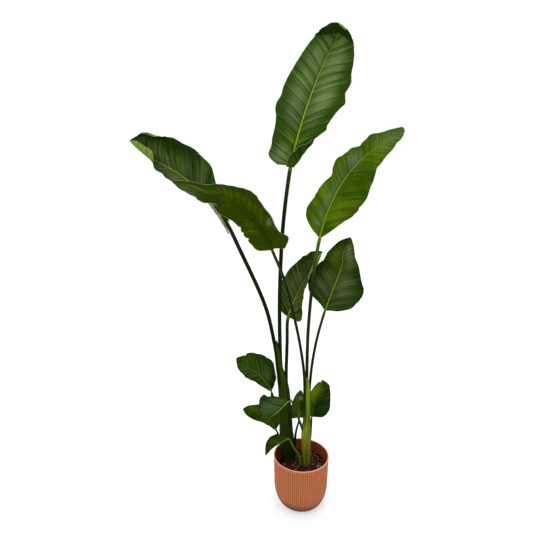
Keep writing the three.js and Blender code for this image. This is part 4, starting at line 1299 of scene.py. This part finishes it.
class PLANT_OT_soil(bpy.types.Operator):
    """Make the potting mix and the crumbs that lie on it"""

    bl_idname = "plant.soil"
    bl_label = "Soil"

    def execute(self, context):
        settings = context.scene.plant_pot
        wide = inner_radius(SOIL_TOP, gap=0.3)
        rows, sides = 66, 260
        # The rings against the pot's inside, then those of the top from its edge to its middle.
        side_radius, side_height = [52, 98, wide - 0.4, wide - 0.2], [6, 60, 110, 140]
        radius = np.concatenate([side_radius, np.linspace(wide, 0.6, rows)])[:, None]
        rings = round_rings(radius, round_angles(sides), 0)
        rings[..., 2] = soil_height(rings[..., 0], rings[..., 1])
        rings[:len(side_height), :, 2] = np.array(side_height)[:, None]
        body = Body()
        tube(body, rings, 0)
        body.make("soil_fine", [soil_material(settings)], ["soil"])
        self.make_grit(settings, wide)
        return {"FINISHED"}

    @staticmethod
    def make_grit(settings, wide):
        """Jagged crumbs, turned and leaned at random and half sunk, clear of the pot and the stems."""
        random = np.random.default_rng(11)
        ball, faces = crumb_shape()
        body = Body()
        made = 0
        while made < settings.grit_count:
            x, y = random.uniform(-wide, wide, 2)
            size = random.uniform(0.8, 2.6)
            clear = all(math.hypot(x - cx, y - cy) > radius + size for cx, cy, radius in STEM_FEET)
            if math.hypot(x, y) > wide - size - 1 or not clear:
                continue
            stretch = size * random.uniform(0.5, 1.1, 3)
            jag = random.uniform(0.75, 1.2, (len(ball), 1))
            turn, lean = random.uniform(0, math.pi, 2)
            points = ball * jag * stretch
            c, s = math.cos(turn), math.sin(turn)
            points = points @ np.array([[c, -s, 0], [s, c, 0], [0, 0, 1]])
            c, s = math.cos(lean), math.sin(lean)
            points = points @ np.array([[1, 0, 0], [0, c, -s], [0, s, c]])
            ground = float(soil_height(np.array(x), np.array(y)))
            points = points + (x, y, ground + 0.25 * size)
            body.add(points, [faces], 0, kind=random.uniform())
            made += 1
        body.make("soil_grit", [grit_material()], [], rounded=False)


def lamp(name, place, aim, size, power):
    """A square soft light at place, turned to aim."""
    data = bpy.data.lights.new(name, "AREA")
    data.shape = "SQUARE"
    data.size = size
    data.energy = power
    light = bpy.data.objects.new(name, data)
    bpy.context.scene.collection.objects.link(light)
    light.location = place
    light.rotation_euler = (Vector(aim) - Vector(place)).to_track_quat("-Z", "Y").to_euler()


class PLANT_OT_studio(bpy.types.Operator):
    """Make the floor, the lights and the camera"""

    bl_idname = "plant.studio"
    bl_label = "Studio"

    def execute(self, context):
        settings = context.scene.plant_studio
        scene = context.scene
        scene.view_settings.view_transform = "Standard"
        scene.world = self.make_sky(settings)
        self.make_floor(settings)
        plant_middle = (-0.1, 0, 1.0)
        lamp("key", (-1.6, -2.2, 2.9), plant_middle, 1.6, settings.key)
        lamp("side", (2.3, -1.4, 1.9), plant_middle, 1.4, settings.key * 0.35)
        lamp("top", (0.2, 0.9, 3.4), plant_middle, 1.5, settings.key * 0.5)
        self.make_camera(scene)
        return {"FINISHED"}

    @staticmethod
    def make_camera(scene):
        """The camera at the photograph's viewing angle."""
        camera = bpy.data.objects.new("camera", bpy.data.cameras.new("camera"))
        scene.collection.objects.link(camera)
        camera.data.lens = 30
        camera.data.sensor_width = 36
        looking_down = 12.2
        camera.location = (-0.139, -1.584, 1.323)
        camera.rotation_euler = (math.radians(90 - looking_down), 0, 0)
        scene.camera = camera

    @staticmethod
    def make_sky(settings):
        """A soft white dome: bright overhead and dim near the horizon, seen as plain white."""
        world = bpy.data.worlds.new("soft_dome")
        world.use_nodes = True
        tree = world.node_tree
        sky = tree.nodes["Background"]
        sky.inputs["Color"].default_value = (1, 1, 1, 1)
        nodes = Nodes(None, tree)
        direction = nodes.add("ShaderNodeTexCoord", None, None, "Generated")
        height = nodes.add("ShaderNodeSeparateXYZ", None, {0: direction}, "Z")
        dome = height.between(0.05, 0.6) * (settings.dome - settings.horizon) + settings.horizon
        seen = nodes.add("ShaderNodeLightPath", None, None, "Is Camera Ray")
        strength = dome + seen * (1 - dome)
        tree.links.new(strength.socket, sky.inputs["Strength"])
        return world

    @staticmethod
    def make_floor(settings):
        """A wide pale floor that sends out half of its own light, so that it stays near white."""
        sides = 96
        reach = 12000
        angle = round_angles(sides)
        mesh = bpy.data.meshes.new("floor")
        mesh.from_pydata((round_rings(reach, angle, 0) * MM).tolist(), [], [list(range(sides))])
        nodes = Nodes("floor_paint")
        half = dimmed(settings.floor_colour, 0.5)
        paint = nodes.mix(nodes.grain(1.5, 2), dimmed(half, 0.99), half)
        mesh.materials.append(nodes.finish(paint, 0.8, 0.5, glow=half))
        floor = bpy.data.objects.new("floor", mesh)
        bpy.context.scene.collection.objects.link(floor)


OPERATORS = [PLANT_OT_studio, PLANT_OT_pot, PLANT_OT_soil, PLANT_OT_trunks, PLANT_OT_leaves]


class PLANT_PT_panel(bpy.types.Panel):
    """The sizes, the colours and a button for each group of pieces."""

    bl_idname = "PLANT_PT_panel"
    bl_label = "Potted Bird of Paradise"
    bl_space_type = "VIEW_3D"
    bl_region_type = "UI"
    bl_category = "Plant"

    def draw(self, context):
        for name in SETTINGS:
            box = self.layout.box()
            group = getattr(context.scene, name)
            for key in group.__annotations__:
                box.prop(group, key)
        for operator in OPERATORS:
            self.layout.operator(operator.bl_idname)


SETTINGS = {
    "plant_leaves": LeafSettings,
    "plant_trunks": TrunkSettings,
    "plant_pot": PotSettings,
    "plant_studio": StudioSettings,
}

CLASSES = [*SETTINGS.values(), *OPERATORS, PLANT_PT_panel]


def register():
    for kind in CLASSES:
        bpy.utils.register_class(kind)
    for name, group in SETTINGS.items():
        setattr(bpy.types.Scene, name, PointerProperty(type=group))


def unregister():
    for name in SETTINGS:
        delattr(bpy.types.Scene, name)
    for kind in reversed(CLASSES):
        bpy.utils.unregister_class(kind)


def main():
    register()
    bpy.ops.plant.studio()
    bpy.ops.plant.pot()
    bpy.ops.plant.soil()
    bpy.ops.plant.trunks()
    bpy.ops.plant.leaves()


if __name__ == "__main__":
    main()
